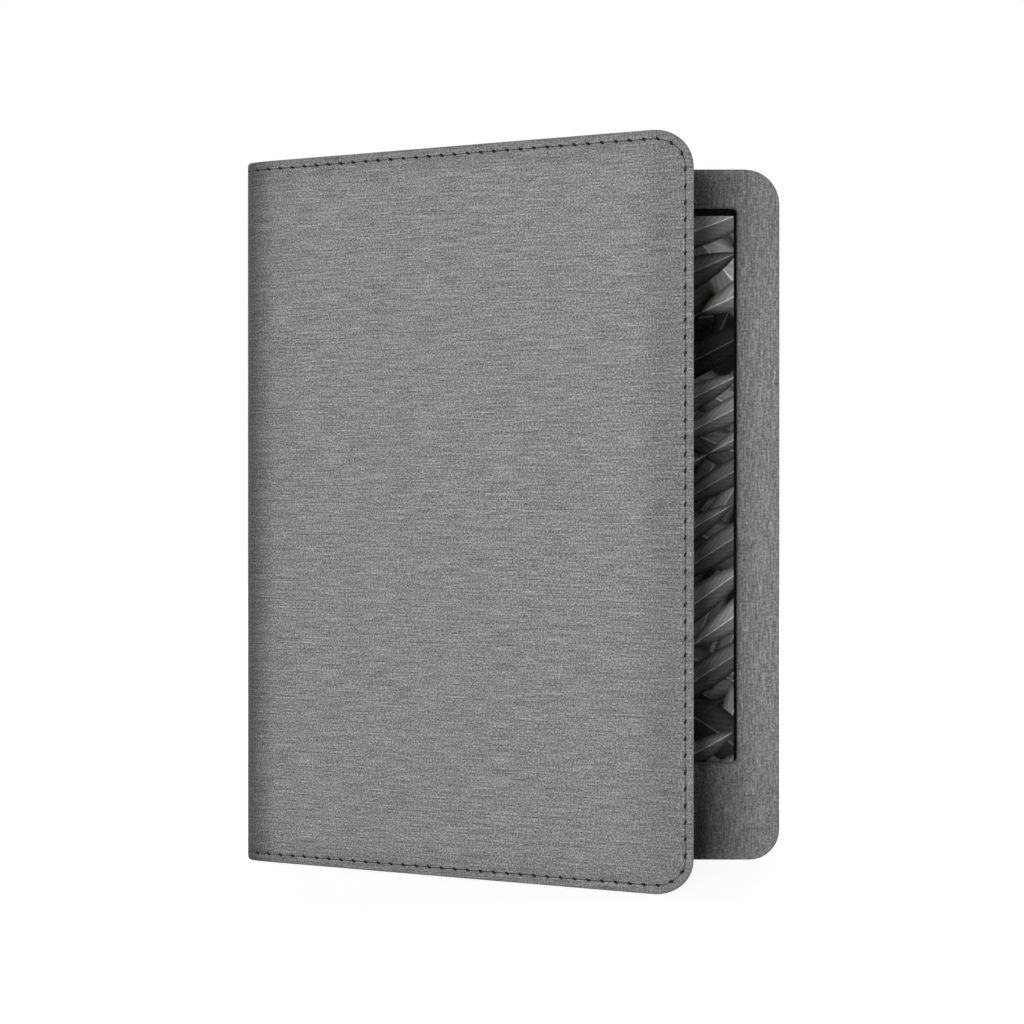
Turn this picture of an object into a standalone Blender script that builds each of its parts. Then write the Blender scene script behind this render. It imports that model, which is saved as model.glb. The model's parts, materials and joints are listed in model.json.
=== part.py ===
"""An e-paper reader in a fabric folio, standing on its lower edge with the front cover part open.

Lengths are in metres and angles in degrees. +Z is up, +X runs from the spine to the free edge of the
back cover, and -Y points out of the screen. The finished model stands with the middle of the base of
its box on the origin.

Three frames carry the pieces. Each has its origin on a fold line:
- case_frame, on the rear fold line, carries the back cover, the window frame and the reader;
- spine_fold, on the same line, turns the spine;
- cover_fold, on the front fold line, turns the front cover.
In each frame the cover's own plane is y = 0.
"""

from math import cos, radians, sin

import bmesh
import bpy
from mathutils import Matrix, Vector

# Folio -----------------------------------------------------------------------------------------
OPENING_ANGLE = 34.5
COVER_THICKNESS = 0.0020
SKIN = 0.00045
BOARD = 0.0010
GLUE = 0.00005
CORNER_RADIUS = 0.0090
INNER_CORNER_RADIUS = 0.0030
SKIN_EDGE_ROUNDING = 0.0004
COVER_STANDS_ABOVE = 0.0016
COVER_OVERHANG = 0.0004
SPINE_SET_DOWN = 0.0007
FOLD_CLEARANCE = 0.0003
CLOSED_CLEARANCE = 0.0003
BOARD_TO_FOLD = 0.0040
STIFFENER_WIDTH = 0.0100
STIFFENER_THICKNESS = 0.0009
SPACER_WALL = 0.0008
NOTCH_SIDE_ROOM = 0.0035
WINDOW_FRAME_THICKNESS = 0.0017
WINDOW_FRAME_BOARD = 0.0009
WINDOW_CORNER_RADIUS = 0.0014
POCKET_TO_FOLD = 0.0030
READER_TO_FOLD = 0.0064
READER_SIDE_PLAY = 0.0003
READER_FACE_PLAY = 0.0001
THREAD_DIAMETER = 0.00025
SEAM_GROOVE_SIDE = 0.0001
SEAM_INSET = 0.0025
SEAM_INSET_FREE_EDGE = 0.0016
SEAM_START = 0.0020
MAGNET_SIZE = (0.0050, 0.0008, 0.0120)
MAGNET_SPREAD = 0.0800
MAGNET_PLAY = 0.0003
WAKE_MAGNET_SIZE = (0.0040, 0.0008, 0.0040)

# Reader, outside -------------------------------------------------------------------------------
PICTURE_WIDTH = 0.1046
PICTURE_HEIGHT = 0.1395
SIDE_BEZEL = 0.0100
TOP_BEZEL = 0.01015
BOTTOM_BEZEL = 0.02455
READER_DEPTH = 0.0081
READER_CORNER_RADIUS = 0.0085
READER_BACK_ROUNDING = 0.0018
READER_RIM_ROUNDING = 0.0003
SHELL_WALL = 0.0012
SHELL_FLOOR = 0.0011
LENS = 0.0007
BORDER_FILM = 0.0001
LENS_PLAY = 0.0001
WINDOW_ABOVE_PICTURE = 0.00175
WINDOW_BELOW_PICTURE = 0.00115
WINDOW_BESIDE_PICTURE = 0.0007

# Reader, inside: depths are counted from the lens's outer face, heights from the lower edge ----
TOUCH_SENSOR = 0.0002
LIGHT_GUIDE = 0.0004
PANEL = 0.0007
LAYER_GAP = 0.00005
PANEL_SIDE_MARGIN = 0.0022
PANEL_TOP_MARGIN = 0.0025
PANEL_FOOT = 0.0050
LIGHT_STRIP_HEIGHT = 0.0015
RECESS_PLAY = 0.0003
MID_FRAME_PLATE = 0.0008
MID_FRAME_PLAY = 0.00015
BATTERY_SIZE = (0.0920, 0.0032, 0.0460)
BATTERY_ROUNDING = 0.0012
BATTERY_ABOVE_BOARD = 0.0140
BATTERY_TAPE = 0.00015
BATTERY_TAPE_INSET = 0.0060
BATTERY_PLUG_SIZE = (0.0060, 0.0010, 0.0040)
BATTERY_PLUG_FROM_MIDDLE = 0.0130
BATTERY_PLUG_INSET = 0.0010
BATTERY_LEAD_WIDTH = 0.0040
BATTERY_LEAD_BEND = 0.0020
BOARD_DEPTH = 0.0043
CIRCUIT_BOARD = 0.0008
CIRCUIT_BOARD_WIDTH = 0.0960
CIRCUIT_BOARD_FOOT = 0.0065
CIRCUIT_BOARD_HEIGHT = 0.0415
SHIELD_SIZE = (0.0300, 0.0014, 0.0220)
SHIELD_WALL = 0.0002
SHIELD_FROM_MIDDLE = 0.0150
PROCESSOR_SIZE = (0.0120, 0.0009, 0.0120)
WIRELESS_SIZE = (0.0140, 0.0012, 0.0140)
WIRELESS_FROM_MIDDLE = -0.0270
POWER_CHIP_SIZE = (0.0050, 0.0008, 0.0050)
POWER_CHIP_FROM_MIDDLE = -0.0090
CHIPS_ABOVE_BOARD_FOOT = 0.0245
HALL_SENSOR_SIZE = (0.0030, 0.0008, 0.0020)
HALL_SENSOR_INSET = 0.0050
FITTING_GAP = 0.0002
PORT_FROM_MIDDLE = -0.0050
BUTTON_FROM_MIDDLE = 0.0170
LIGHT_FROM_MIDDLE = 0.0060
EDGE_FITTINGS_DEPTH = 0.0042
PORT_WIDTH = 0.00894
PORT_THICKNESS = 0.00326
PORT_LENGTH = 0.00735
PORT_WALL = 0.0003
PORT_MOUTH = 0.00035
PORT_TONGUE = (0.0067, 0.0007, 0.0045)
SEAL_WALL = 0.0004
SEAL_PLAY = 0.0001
BUTTON_WIDTH = 0.0110
BUTTON_THICKNESS = 0.0024
BUTTON_PROUD = 0.00025
BUTTON_FLANGE = 0.0005
BUTTON_FLANGE_LIP = 0.0008
BUTTON_TRAVEL = 0.0004
BUTTON_STEM_DIAMETER = 0.0016
BUTTON_STEM_LENGTH = 0.0005
BUTTON_STOP_GAP = 0.00005
SWITCH_SIZE = (0.0044, 0.0016)
LIGHT_PIPE_DIAMETER = 0.0012
LIGHT_PIPE_LENGTH = 0.0039
LIGHT_PIPE_START = 0.0001
RIBBON = 0.00015
RIBBON_SLOT_FOOT = 0.0130
DISPLAY_RIBBON_WIDTH = 0.0240
TOUCH_RIBBON_WIDTH = 0.0120
LIGHT_RIBBON_WIDTH = 0.0060
RIBBON_SLOT_PLAY = 0.0010
RIBBON_OVERLAP = 0.0025
TOUCH_RIBBON_FROM_MIDDLE = 0.0336
LIGHT_RIBBON_FROM_MIDDLE = -0.0336
ANTENNA_SIZE = (0.0070, 0.0002, 0.0320)
ANTENNA_INSET = 0.0020
ANTENNA_FOOT = 0.0300
SCREW_DIAMETER = 0.0014
SCREW_HEAD_DIAMETER = 0.0026
SCREW_HEAD_HEIGHT = 0.0006
SHELL_SCREW_INSET = 0.0044
SHELL_SCREW_FROM_FOOT = 0.0220
SHELL_SCREW_FROM_TOP = 0.0140
BOARD_SCREW_SIDE_INSET = 0.0060
BOARD_SCREW_TOP_INSET = 0.0040
SHELL_SCREW_LENGTH = 0.0045
BOARD_SCREW_LENGTH = 0.0021
BOSS_WALL = 0.0008

ALMOST_ROUND = 0.98
CORNER_SEGMENTS = 7
SMALL_SEGMENTS = 3
ROUND_SIDES = 16
CUT = 0.0010

# Worked out from the sizes above ---------------------------------------------------------------
HALF_OPENING = radians(OPENING_ANGLE / 2)
HALF_COVER = COVER_THICKNESS / 2
LINING = COVER_THICKNESS - SKIN - BOARD - 2 * GLUE
HINGE_EDGE = HALF_COVER + FOLD_CLEARANCE
SIDE_WALL = SKIN + GLUE + SPACER_WALL
READER_MARGIN = SIDE_WALL + READER_SIDE_PLAY

READER_WIDTH = PICTURE_WIDTH + 2 * SIDE_BEZEL
READER_HEIGHT = BOTTOM_BEZEL + PICTURE_HEIGHT + TOP_BEZEL
CASE_HEIGHT = READER_HEIGHT + 2 * READER_MARGIN
CASE_WIDTH = READER_TO_FOLD + READER_WIDTH + READER_MARGIN
COVER_HEIGHT = CASE_HEIGHT + COVER_STANDS_ABOVE
COVER_WIDTH = CASE_WIDTH + COVER_OVERHANG
SPINE_HEIGHT = COVER_HEIGHT - SPINE_SET_DOWN

# The case frame's depths, from the pocket's floor forward to the folded cover.
POCKET_FLOOR = -HALF_COVER
READER_BACK = POCKET_FLOOR - READER_FACE_PLAY
READER_FRONT = READER_BACK - READER_DEPTH
FRAME_BACK = READER_FRONT - READER_FACE_PLAY
FRAME_FRONT = FRAME_BACK - WINDOW_FRAME_THICKNESS
SPINE_SPAN = HALF_COVER + CLOSED_CLEARANCE - FRAME_FRONT

READER_LEFT = READER_TO_FOLD
READER_FOOT = READER_MARGIN
READER_MIDDLE = READER_LEFT + READER_WIDTH / 2
PICTURE_FOOT = READER_FOOT + BOTTOM_BEZEL
PICTURE_TOP = PICTURE_FOOT + PICTURE_HEIGHT
WINDOW_LEFT = READER_MIDDLE - PICTURE_WIDTH / 2 - WINDOW_BESIDE_PICTURE
WINDOW_RIGHT = READER_MIDDLE + PICTURE_WIDTH / 2 + WINDOW_BESIDE_PICTURE
WINDOW_FOOT = PICTURE_FOOT - WINDOW_BELOW_PICTURE
WINDOW_TOP = PICTURE_TOP + WINDOW_ABOVE_PICTURE
MAGNET_X = (WINDOW_RIGHT + CASE_WIDTH) / 2

# The reader's layers, as depths behind the lens's outer face.
FILM_DEPTH = LENS + LAYER_GAP
RIM_DEPTH = FILM_DEPTH + BORDER_FILM + LAYER_GAP
GUIDE_DEPTH = RIM_DEPTH + TOUCH_SENSOR + LAYER_GAP
PANEL_DEPTH = GUIDE_DEPTH + LIGHT_GUIDE + LAYER_GAP
PLATE_FRONT = PANEL_DEPTH + PANEL + 2 * LAYER_GAP
PLATE_BACK = PLATE_FRONT + MID_FRAME_PLATE
FLOOR_DEPTH = READER_DEPTH - SHELL_FLOOR
BOARD_BACK = BOARD_DEPTH + CIRCUIT_BOARD
MOUNTED_DEPTH = BOARD_BACK + GLUE
PORT_X = READER_WIDTH / 2 + PORT_FROM_MIDDLE
BUTTON_X = READER_WIDTH / 2 + BUTTON_FROM_MIDDLE
LIGHT_X = READER_WIDTH / 2 + LIGHT_FROM_MIDDLE
FLANGE_WIDTH = BUTTON_WIDTH + 2 * BUTTON_FLANGE_LIP
FLANGE_THICKNESS = BUTTON_THICKNESS + 2 * BUTTON_FLANGE_LIP
NOTCH_LEFT = READER_LEFT + PORT_X - PORT_WIDTH / 2 - NOTCH_SIDE_ROOM
NOTCH_RIGHT = READER_LEFT + BUTTON_X + BUTTON_WIDTH / 2 + NOTCH_SIDE_ROOM
STACK_LEFT = (READER_WIDTH - PICTURE_WIDTH) / 2 - PANEL_SIDE_MARGIN
STACK_RIGHT = READER_WIDTH - STACK_LEFT
STACK_FOOT = BOTTOM_BEZEL - PANEL_FOOT
STACK_TOP = BOTTOM_BEZEL + PICTURE_HEIGHT + PANEL_TOP_MARGIN
RECESS_FOOT = STACK_FOOT - LIGHT_STRIP_HEIGHT - 2 * RECESS_PLAY
BOARD_LEFT = (READER_WIDTH - CIRCUIT_BOARD_WIDTH) / 2
BOARD_RIGHT = READER_WIDTH - BOARD_LEFT
BOARD_TOP = CIRCUIT_BOARD_FOOT + CIRCUIT_BOARD_HEIGHT
BATTERY_FOOT = BOARD_TOP + BATTERY_ABOVE_BOARD
CHIP_HEIGHT = CIRCUIT_BOARD_FOOT + CHIPS_ABOVE_BOARD_FOOT
HALL_SENSOR_X = BOARD_RIGHT - HALL_SENSOR_INSET
SCREW_HOLE = SCREW_DIAMETER + 2 * FITTING_GAP
SHELL_SCREW_SEAT = RIM_DEPTH + GLUE + SCREW_HEAD_HEIGHT
DISPLAY_RIBBON_X = READER_WIDTH / 2
TOUCH_RIBBON_X = READER_WIDTH / 2 + TOUCH_RIBBON_FROM_MIDDLE
LIGHT_RIBBON_X = READER_WIDTH / 2 + LIGHT_RIBBON_FROM_MIDDLE
BUTTON_FLANGE_FOOT = SHELL_WALL + SEAL_PLAY
SWITCH_FOOT = BUTTON_FLANGE_FOOT + BUTTON_FLANGE + BUTTON_STEM_LENGTH + BUTTON_TRAVEL + BUTTON_STOP_GAP


# Scene -----------------------------------------------------------------------------------------
def clear_scene():
    for old in list(bpy.data.objects):
        bpy.data.objects.remove(old, do_unlink=True)


def new_collection(name):
    collection = bpy.data.collections.new(name)
    bpy.context.scene.collection.children.link(collection)
    return collection


def new_frame(name, parent, location, turn=0.0):
    """An empty that carries pieces, turned about the upright axis. turn is in radians."""
    frame = bpy.data.objects.new(name, None)
    frame.parent = parent
    frame.location = location
    frame.rotation_euler = (0.0, 0.0, turn)
    PARTS.objects.link(frame)
    return frame


def finish(name, colour, roughness, metallic=0.0):
    material = bpy.data.materials.new(name)
    material.use_nodes = True
    shader = material.node_tree.nodes["Principled BSDF"]
    shader.inputs["Base Color"].default_value = (*colour, 1.0)
    shader.inputs["Roughness"].default_value = roughness
    shader.inputs["Metallic"].default_value = metallic
    return material


# Shapes ----------------------------------------------------------------------------------------
def edges_along(bm, axis, low_x):
    """The edges that run along one axis, on the low or the high side in X."""
    middle = sum(v.co.x for v in bm.verts) / len(bm.verts)
    found = []
    for edge in bm.edges:
        run = edge.verts[1].co - edge.verts[0].co
        if abs(run[axis]) < 0.999 * run.length:
            continue
        if (edge.verts[0].co.x < middle) == low_x:
            found.append(edge)
    return found


def block(low, high, along="Y", radius=0.0, left_radius=None, segments=CORNER_SEGMENTS):
    """A box as a mesh. Its four edges along one axis are rounded; left_radius is for those at low X."""
    size = [b - a for a, b in zip(low, high)]
    centre = [(a + b) / 2 for a, b in zip(low, high)]
    bm = bmesh.new()
    place = Matrix.Translation(centre) @ Matrix.Diagonal((*size, 1.0))
    bmesh.ops.create_cube(bm, size=1.0, matrix=place)
    axis = "XYZ".index(along)
    if left_radius is None:
        left_radius = radius
    corners = ((edges_along(bm, axis, True), left_radius), (edges_along(bm, axis, False), radius))
    for edges, corner_radius in corners:
        if corner_radius > 0:
            bmesh.ops.bevel(
                bm, geom=edges, offset=corner_radius, segments=segments, profile=0.5, affect="EDGES"
            )
    return mesh_from(bm)


def mesh_from(bm):
    mesh = bpy.data.meshes.new("shape")
    bmesh.ops.recalc_face_normals(bm, faces=bm.faces[:])
    bm.to_mesh(mesh)
    bm.free()
    mesh.shade_smooth()
    mesh.set_sharp_from_angle(angle=radians(35))
    return mesh


def round_face_edges(mesh, depth, radius, open_left=False, segments=2):
    """Rounds the outline of the face that lies at one depth in Y. open_left leaves out its edge at low X."""
    bm = bmesh.new()
    bm.from_mesh(mesh)
    left = min(v.co.x for v in bm.verts)
    edges = []
    for edge in bm.edges:
        on_face = all(abs(v.co.y - depth) < 1e-6 for v in edge.verts)
        at_left = all(abs(v.co.x - left) < 1e-6 for v in edge.verts)
        if on_face and not (open_left and at_left):
            edges.append(edge)
    bmesh.ops.bevel(bm, geom=edges, offset=radius, segments=segments, profile=0.5, affect="EDGES")
    bm.to_mesh(mesh)
    bm.free()
    mesh.shade_smooth()
    mesh.set_sharp_from_angle(angle=radians(35))
    return mesh


def rod(start, end, diameter, sides=ROUND_SIDES):
    """A cylinder as a mesh, from one point to another."""
    start = Vector(start)
    end = Vector(end)
    turn = (end - start).to_track_quat("Z", "Y").to_matrix().to_4x4()
    bm = bmesh.new()
    bmesh.ops.create_cone(
        bm,
        cap_ends=True,
        segments=sides,
        radius1=diameter / 2,
        radius2=diameter / 2,
        depth=(end - start).length,
        matrix=Matrix.Translation((start + end) / 2) @ turn,
    )
    return mesh_from(bm)


# Pieces ----------------------------------------------------------------------------------------
def add_piece(name, mesh, material, frame):
    piece = bpy.data.objects.new(name, mesh)
    mesh.materials.append(material)
    piece.parent = frame
    PARTS.objects.link(piece)
    return piece


def boolean(piece, mesh, operation):
    """Cuts a mesh out of a piece, or joins it to the piece, and returns the object that holds the mesh."""
    tool = bpy.data.objects.new(piece.name + "_tool", mesh)
    tool.parent = piece.parent
    tool.hide_render = True
    tool.display_type = "WIRE"
    CUTTERS.objects.link(tool)
    modifier = piece.modifiers.new(operation.lower(), "BOOLEAN")
    modifier.operation = operation
    modifier.object = tool
    modifier.solver = "EXACT"
    return tool


def cut(piece, mesh):
    return boolean(piece, mesh, "DIFFERENCE")


def join(piece, mesh):
    return boolean(piece, mesh, "UNION")


def turned(name, profile, material, frame, location, facing):
    """A piece turned about its own axis, from (radius, height) points that run down its outer side."""
    mesh = bpy.data.meshes.new(name)
    points = [(radius, 0.0, height) for radius, height in profile]
    mesh.from_pydata(points, [(i, i + 1) for i in range(len(points) - 1)], [])
    piece = add_piece(name, mesh, material, frame)
    piece.location = location
    piece.rotation_euler = (radians(facing), 0.0, 0.0)
    spin = piece.modifiers.new("spin", "SCREW")
    spin.axis = "Z"
    spin.steps = ROUND_SIDES
    spin.render_steps = ROUND_SIDES
    spin.use_merge_vertices = True
    spin.merge_threshold = 0.00001
    spin.use_smooth_shade = False
    return piece


def add_seam(cover, frame, width, height, face, outward):
    """Sewing thread sunk in the cloth along the top, the free edge and the bottom of a cover's outer face."""
    radius = CORNER_RADIUS - (SEAM_INSET + SEAM_INSET_FREE_EDGE) / 2
    right = width - SEAM_INSET_FREE_EDGE
    top = height - SEAM_INSET
    floor = face - outward * (THREAD_DIAMETER + 2 * GLUE)
    low_y, high_y = sorted((floor, face + outward * CUT))
    half = THREAD_DIAMETER / 2 + SEAM_GROOVE_SIDE
    start = SEAM_START - SEAM_GROOVE_SIDE
    groove = block(
        (start, low_y, SEAM_INSET - half), (right + half, high_y, top + half), "Y", radius + half, 0.0
    )
    core = block(
        (start - CUT, low_y - CUT, SEAM_INSET + half),
        (right - half, high_y + CUT, top - half),
        "Y",
        radius - half,
        0.0,
    )
    cut(cut(cover, groove), core)

    depth = face - outward * (GLUE + THREAD_DIAMETER / 2)
    points = [(SEAM_START, top)]
    for corner_z, first in ((top - radius, 90.0), (SEAM_INSET + radius, 0.0)):
        for step in range(CORNER_SEGMENTS + 1):
            angle = radians(first - 90.0 * step / CORNER_SEGMENTS)
            points.append((right - radius + radius * cos(angle), corner_z + radius * sin(angle)))
    points.append((SEAM_START, SEAM_INSET))
    name = cover.name.replace("_skin", "_thread")
    curve = bpy.data.curves.new(name, "CURVE")
    curve.dimensions = "3D"
    curve.bevel_depth = THREAD_DIAMETER / 2
    curve.bevel_resolution = 1
    curve.use_fill_caps = True
    spline = curve.splines.new("POLY")
    spline.points.add(len(points) - 1)
    for place, (x, z) in zip(spline.points, points):
        place.co = (x, depth, z, 1.0)
    curve.materials.append(THREAD)
    piece = bpy.data.objects.new(name, curve)
    piece.parent = frame
    PARTS.objects.link(piece)


def ribbon(name, path, middle, width, frame):
    """A flat ribbon cable that follows (depth, height) points, middle being its place across the reader."""
    bm = bmesh.new()
    left = reader_point(middle - width / 2, 0.0, 0.0).x
    line = []
    for depth, height in path:
        point = reader_point(0.0, depth, height)
        line.append(bm.verts.new((left, point.y, point.z)))
    edges = [bm.edges.new(pair) for pair in zip(line, line[1:])]
    swept = bmesh.ops.extrude_edge_only(bm, edges=edges)
    moved = [v for v in swept["geom"] if isinstance(v, bmesh.types.BMVert)]
    bmesh.ops.translate(bm, verts=moved, vec=(width, 0.0, 0.0))
    piece = add_piece(name, mesh_from(bm), RIBBON_FILM, frame)
    solid = piece.modifiers.new("thickness", "SOLIDIFY")
    solid.thickness = RIBBON
    solid.offset = 0.0
    return piece


# Folio -----------------------------------------------------------------------------------------
def add_cover_layers(prefix, frame, width, height, outward, skin_depth):
    """A cover's skin, board and lining. outward is -1 if its outer face looks along -Y, and 1 along +Y.

    skin_depth is how far the skin's side walls reach from its outer face.
    """

    def span(a, b):
        """Two distances below the outer face as (low y, high y)."""
        ends = (outward * (HALF_COVER - a), outward * (HALF_COVER - b))
        return min(ends), max(ends)

    def layer(start, depth_from, depth_to, inset):
        low_y, high_y = span(depth_from, depth_to)
        corner = CORNER_RADIUS - inset
        return block((start, low_y, inset), (width - inset, high_y, height - inset), "Y", corner, 0.0)

    skin_mesh = layer(HINGE_EDGE, 0.0, skin_depth, 0.0)
    outer_face = outward * HALF_COVER
    skin_mesh = round_face_edges(skin_mesh, outer_face, SKIN_EDGE_ROUNDING, True)
    skin = add_piece(prefix + "_skin", skin_mesh, CLOTH, frame)
    cut(skin, layer(HINGE_EDGE - CUT, SKIN, skin_depth + CUT, SKIN))

    below_board = SKIN + GLUE
    board_mesh = layer(BOARD_TO_FOLD, below_board, below_board + BOARD, below_board)
    board = add_piece(prefix + "_board", board_mesh, GREYBOARD, frame)
    below_lining = below_board + BOARD + GLUE
    lining_name = "pocket_lining" if prefix == "back_cover" else prefix + "_lining"
    lining_mesh = layer(HINGE_EDGE, below_lining, COVER_THICKNESS, below_board)
    add_piece(lining_name, lining_mesh, MICROFIBRE, frame)
    return skin, board


def add_magnet(name, board, material, size, centre, frame):
    """A block magnet in a window cut through its board."""
    half = [s / 2 for s in size]
    low = tuple(c - h for c, h in zip(centre, half))
    high = tuple(c + h for c, h in zip(centre, half))
    add_piece(name, block(low, high), material, frame)
    hole_low = (low[0] - MAGNET_PLAY, low[1] - CUT, low[2] - MAGNET_PLAY)
    hole_high = (high[0] + MAGNET_PLAY, high[1] + CUT, high[2] + MAGNET_PLAY)
    cut(board, block(hole_low, hole_high))


def add_front_cover(frame):
    skin, board = add_cover_layers("front_cover", frame, COVER_WIDTH, COVER_HEIGHT, -1, COVER_THICKNESS)
    board_middle = -HALF_COVER + SKIN + GLUE + BOARD / 2
    for name, side in (("cover_magnet_upper", 1), ("cover_magnet_lower", -1)):
        centre = (MAGNET_X, board_middle, CASE_HEIGHT / 2 + side * MAGNET_SPREAD / 2)
        add_magnet(name, board, MAGNET, MAGNET_SIZE, centre, frame)
    wake_place = (READER_LEFT + HALL_SENSOR_X, board_middle, READER_FOOT + CHIP_HEIGHT)
    add_magnet("wake_magnet", board, MAGNET, WAKE_MAGNET_SIZE, wake_place, frame)
    add_seam(skin, frame, COVER_WIDTH, COVER_HEIGHT, -HALF_COVER, -1)


def add_spine(frame):
    """A cloth sleeve with round edges on the two fold lines, and the stiffener strip inside it."""
    low = (-HALF_COVER, -SPINE_SPAN - HALF_COVER, 0.0)
    high = (HALF_COVER, HALF_COVER, SPINE_HEIGHT)
    sleeve = add_piece("spine_skin", block(low, high, "Z", HALF_COVER * ALMOST_ROUND), CLOTH, frame)
    inside = HALF_COVER - SKIN
    hollow_low = (-inside, low[1] + SKIN, -CUT)
    hollow_high = (inside, high[1] - SKIN, SPINE_HEIGHT + CUT)
    cut(sleeve, block(hollow_low, hollow_high, "Z", inside * ALMOST_ROUND))
    strip_low = (-STIFFENER_THICKNESS / 2, -(SPINE_SPAN + STIFFENER_WIDTH) / 2, SKIN)
    strip_high = (STIFFENER_THICKNESS / 2, -(SPINE_SPAN - STIFFENER_WIDTH) / 2, SPINE_HEIGHT - SKIN)
    add_piece("spine_stiffener", block(strip_low, strip_high), STIFFENER, frame)


def add_back_cover(frame):
    wall_depth = HALF_COVER - FRAME_BACK - GLUE
    skin = add_cover_layers("back_cover", frame, CASE_WIDTH, CASE_HEIGHT, 1, wall_depth)[0]
    flap_low = (HINGE_EDGE - CUT, FRAME_FRONT, -CUT)
    flap_high = (POCKET_TO_FOLD, POCKET_FLOOR, CASE_HEIGHT + CUT)
    notch = block((NOTCH_LEFT, FRAME_BACK, -CUT), (NOTCH_RIGHT, POCKET_FLOOR, SIDE_WALL + CUT))
    cut(skin, block(flap_low, flap_high))
    cut(skin, notch)
    add_seam(skin, frame, CASE_WIDTH, CASE_HEIGHT, HALF_COVER, 1)

    outer = SKIN + GLUE
    spacer_low = (POCKET_TO_FOLD + GLUE, FRAME_BACK + GLUE, outer)
    spacer_high = (CASE_WIDTH - outer, POCKET_FLOOR - GLUE, CASE_HEIGHT - outer)
    spacer = add_piece(
        "pocket_spacer", block(spacer_low, spacer_high, "Y", CORNER_RADIUS - outer, 0.0), FOAM, frame
    )
    hollow_low = (POCKET_TO_FOLD - CUT, FRAME_BACK - CUT, SIDE_WALL)
    hollow_high = (CASE_WIDTH - SIDE_WALL, POCKET_FLOOR + CUT, CASE_HEIGHT - SIDE_WALL)
    cut(spacer, block(hollow_low, hollow_high, "Y", CORNER_RADIUS - SIDE_WALL, 0.0))
    cut(spacer, block((POCKET_TO_FOLD, FRAME_BACK, -CUT), (NOTCH_RIGHT, POCKET_FLOOR + CUT, SIDE_WALL + CUT)))
    foot_high = (NOTCH_LEFT, POCKET_FLOOR - GLUE, SIDE_WALL)
    add_piece("pocket_spacer_foot", block(spacer_low, foot_high), FOAM, frame)


def window_ring(inset, front, back):
    """Two meshes: a window frame layer set in from the frame's edges, and the cutter for its window."""
    outline = block(
        (POCKET_TO_FOLD + inset, front, inset),
        (CASE_WIDTH - inset, back, CASE_HEIGHT - inset),
        "Y",
        CORNER_RADIUS - inset,
        INNER_CORNER_RADIUS - inset,
    )
    opening = block(
        (WINDOW_LEFT - inset, front - CUT, WINDOW_FOOT - inset),
        (WINDOW_RIGHT + inset, back + CUT, WINDOW_TOP + inset),
        "Y",
        WINDOW_CORNER_RADIUS + inset,
        segments=SMALL_SEGMENTS,
    )
    return outline, opening


def add_window_frame(frame):
    """The cloth covered frame round the screen: a skin turned over a board, and a lining behind it."""
    outline, opening = window_ring(0.0, FRAME_FRONT, FRAME_BACK)
    skin = add_piece(
        "window_frame_skin", round_face_edges(outline, FRAME_FRONT, SKIN_EDGE_ROUNDING), CLOTH, frame
    )
    cut(skin, opening)
    groove, core = window_ring(SKIN, FRAME_FRONT + SKIN, FRAME_BACK + CUT)
    cut(cut(skin, groove), core)

    board_front = FRAME_FRONT + SKIN + GLUE
    board_back = board_front + WINDOW_FRAME_BOARD
    board_outline, board_opening = window_ring(SKIN + GLUE, board_front, board_back)
    board = add_piece("window_frame_board", board_outline, GREYBOARD, frame)
    cut(board, board_opening)
    lining_outline, lining_opening = window_ring(SKIN + GLUE, board_back + GLUE, FRAME_BACK)
    cut(add_piece("window_frame_lining", lining_outline, MICROFIBRE, frame), lining_opening)
    for name, side in (("frame_magnet_upper", 1), ("frame_magnet_lower", -1)):
        place = (MAGNET_X, (board_front + board_back) / 2, CASE_HEIGHT / 2 + side * MAGNET_SPREAD / 2)
        add_magnet(name, board, MAGNET, MAGNET_SIZE, place, frame)


# Reader ----------------------------------------------------------------------------------------
def reader_point(across, depth, up):
    """A place in the reader, from its left edge, its front face and its lower edge."""
    return Vector((READER_LEFT + across, READER_FRONT + depth, READER_FOOT + up))


def reader_block(across, depth, up, **shape):
    """A box in the reader, from three (low, high) spans."""
    low = reader_point(across[0], depth[0], up[0])
    high = reader_point(across[1], depth[1], up[1])
    return block(tuple(low), tuple(high), **shape)


def edge_slot(middle, width, thickness, up):
    """A slot with round ends, in the reader's lower edge."""
    across = (middle - width / 2, middle + width / 2)
    depth = (EDGE_FITTINGS_DEPTH - thickness / 2, EDGE_FITTINGS_DEPTH + thickness / 2)
    return reader_block(across, depth, up, along="Z", radius=thickness / 2 * ALMOST_ROUND, segments=4)


def shell_screw_places():
    """(across, up) of the screws that hold the mid frame to the rear shell."""
    heights = (SHELL_SCREW_FROM_FOOT, READER_HEIGHT / 2, READER_HEIGHT - SHELL_SCREW_FROM_TOP)
    return [(x, up) for x in (SHELL_SCREW_INSET, READER_WIDTH - SHELL_SCREW_INSET) for up in heights]


def board_screw_places():
    """(across, up) of the screws that hold the main board to the mid frame."""
    up = BOARD_TOP - BOARD_SCREW_TOP_INSET
    return [(BOARD_LEFT + BOARD_SCREW_SIDE_INSET, up), (BOARD_RIGHT - BOARD_SCREW_SIDE_INSET, up)]


def screw_rod(place, depth_from, depth_to, diameter):
    """A cylinder on a screw's axis, for its boss or its hole."""
    across, up = place
    return rod(reader_point(across, depth_from, up), reader_point(across, depth_to, up), diameter)


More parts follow.
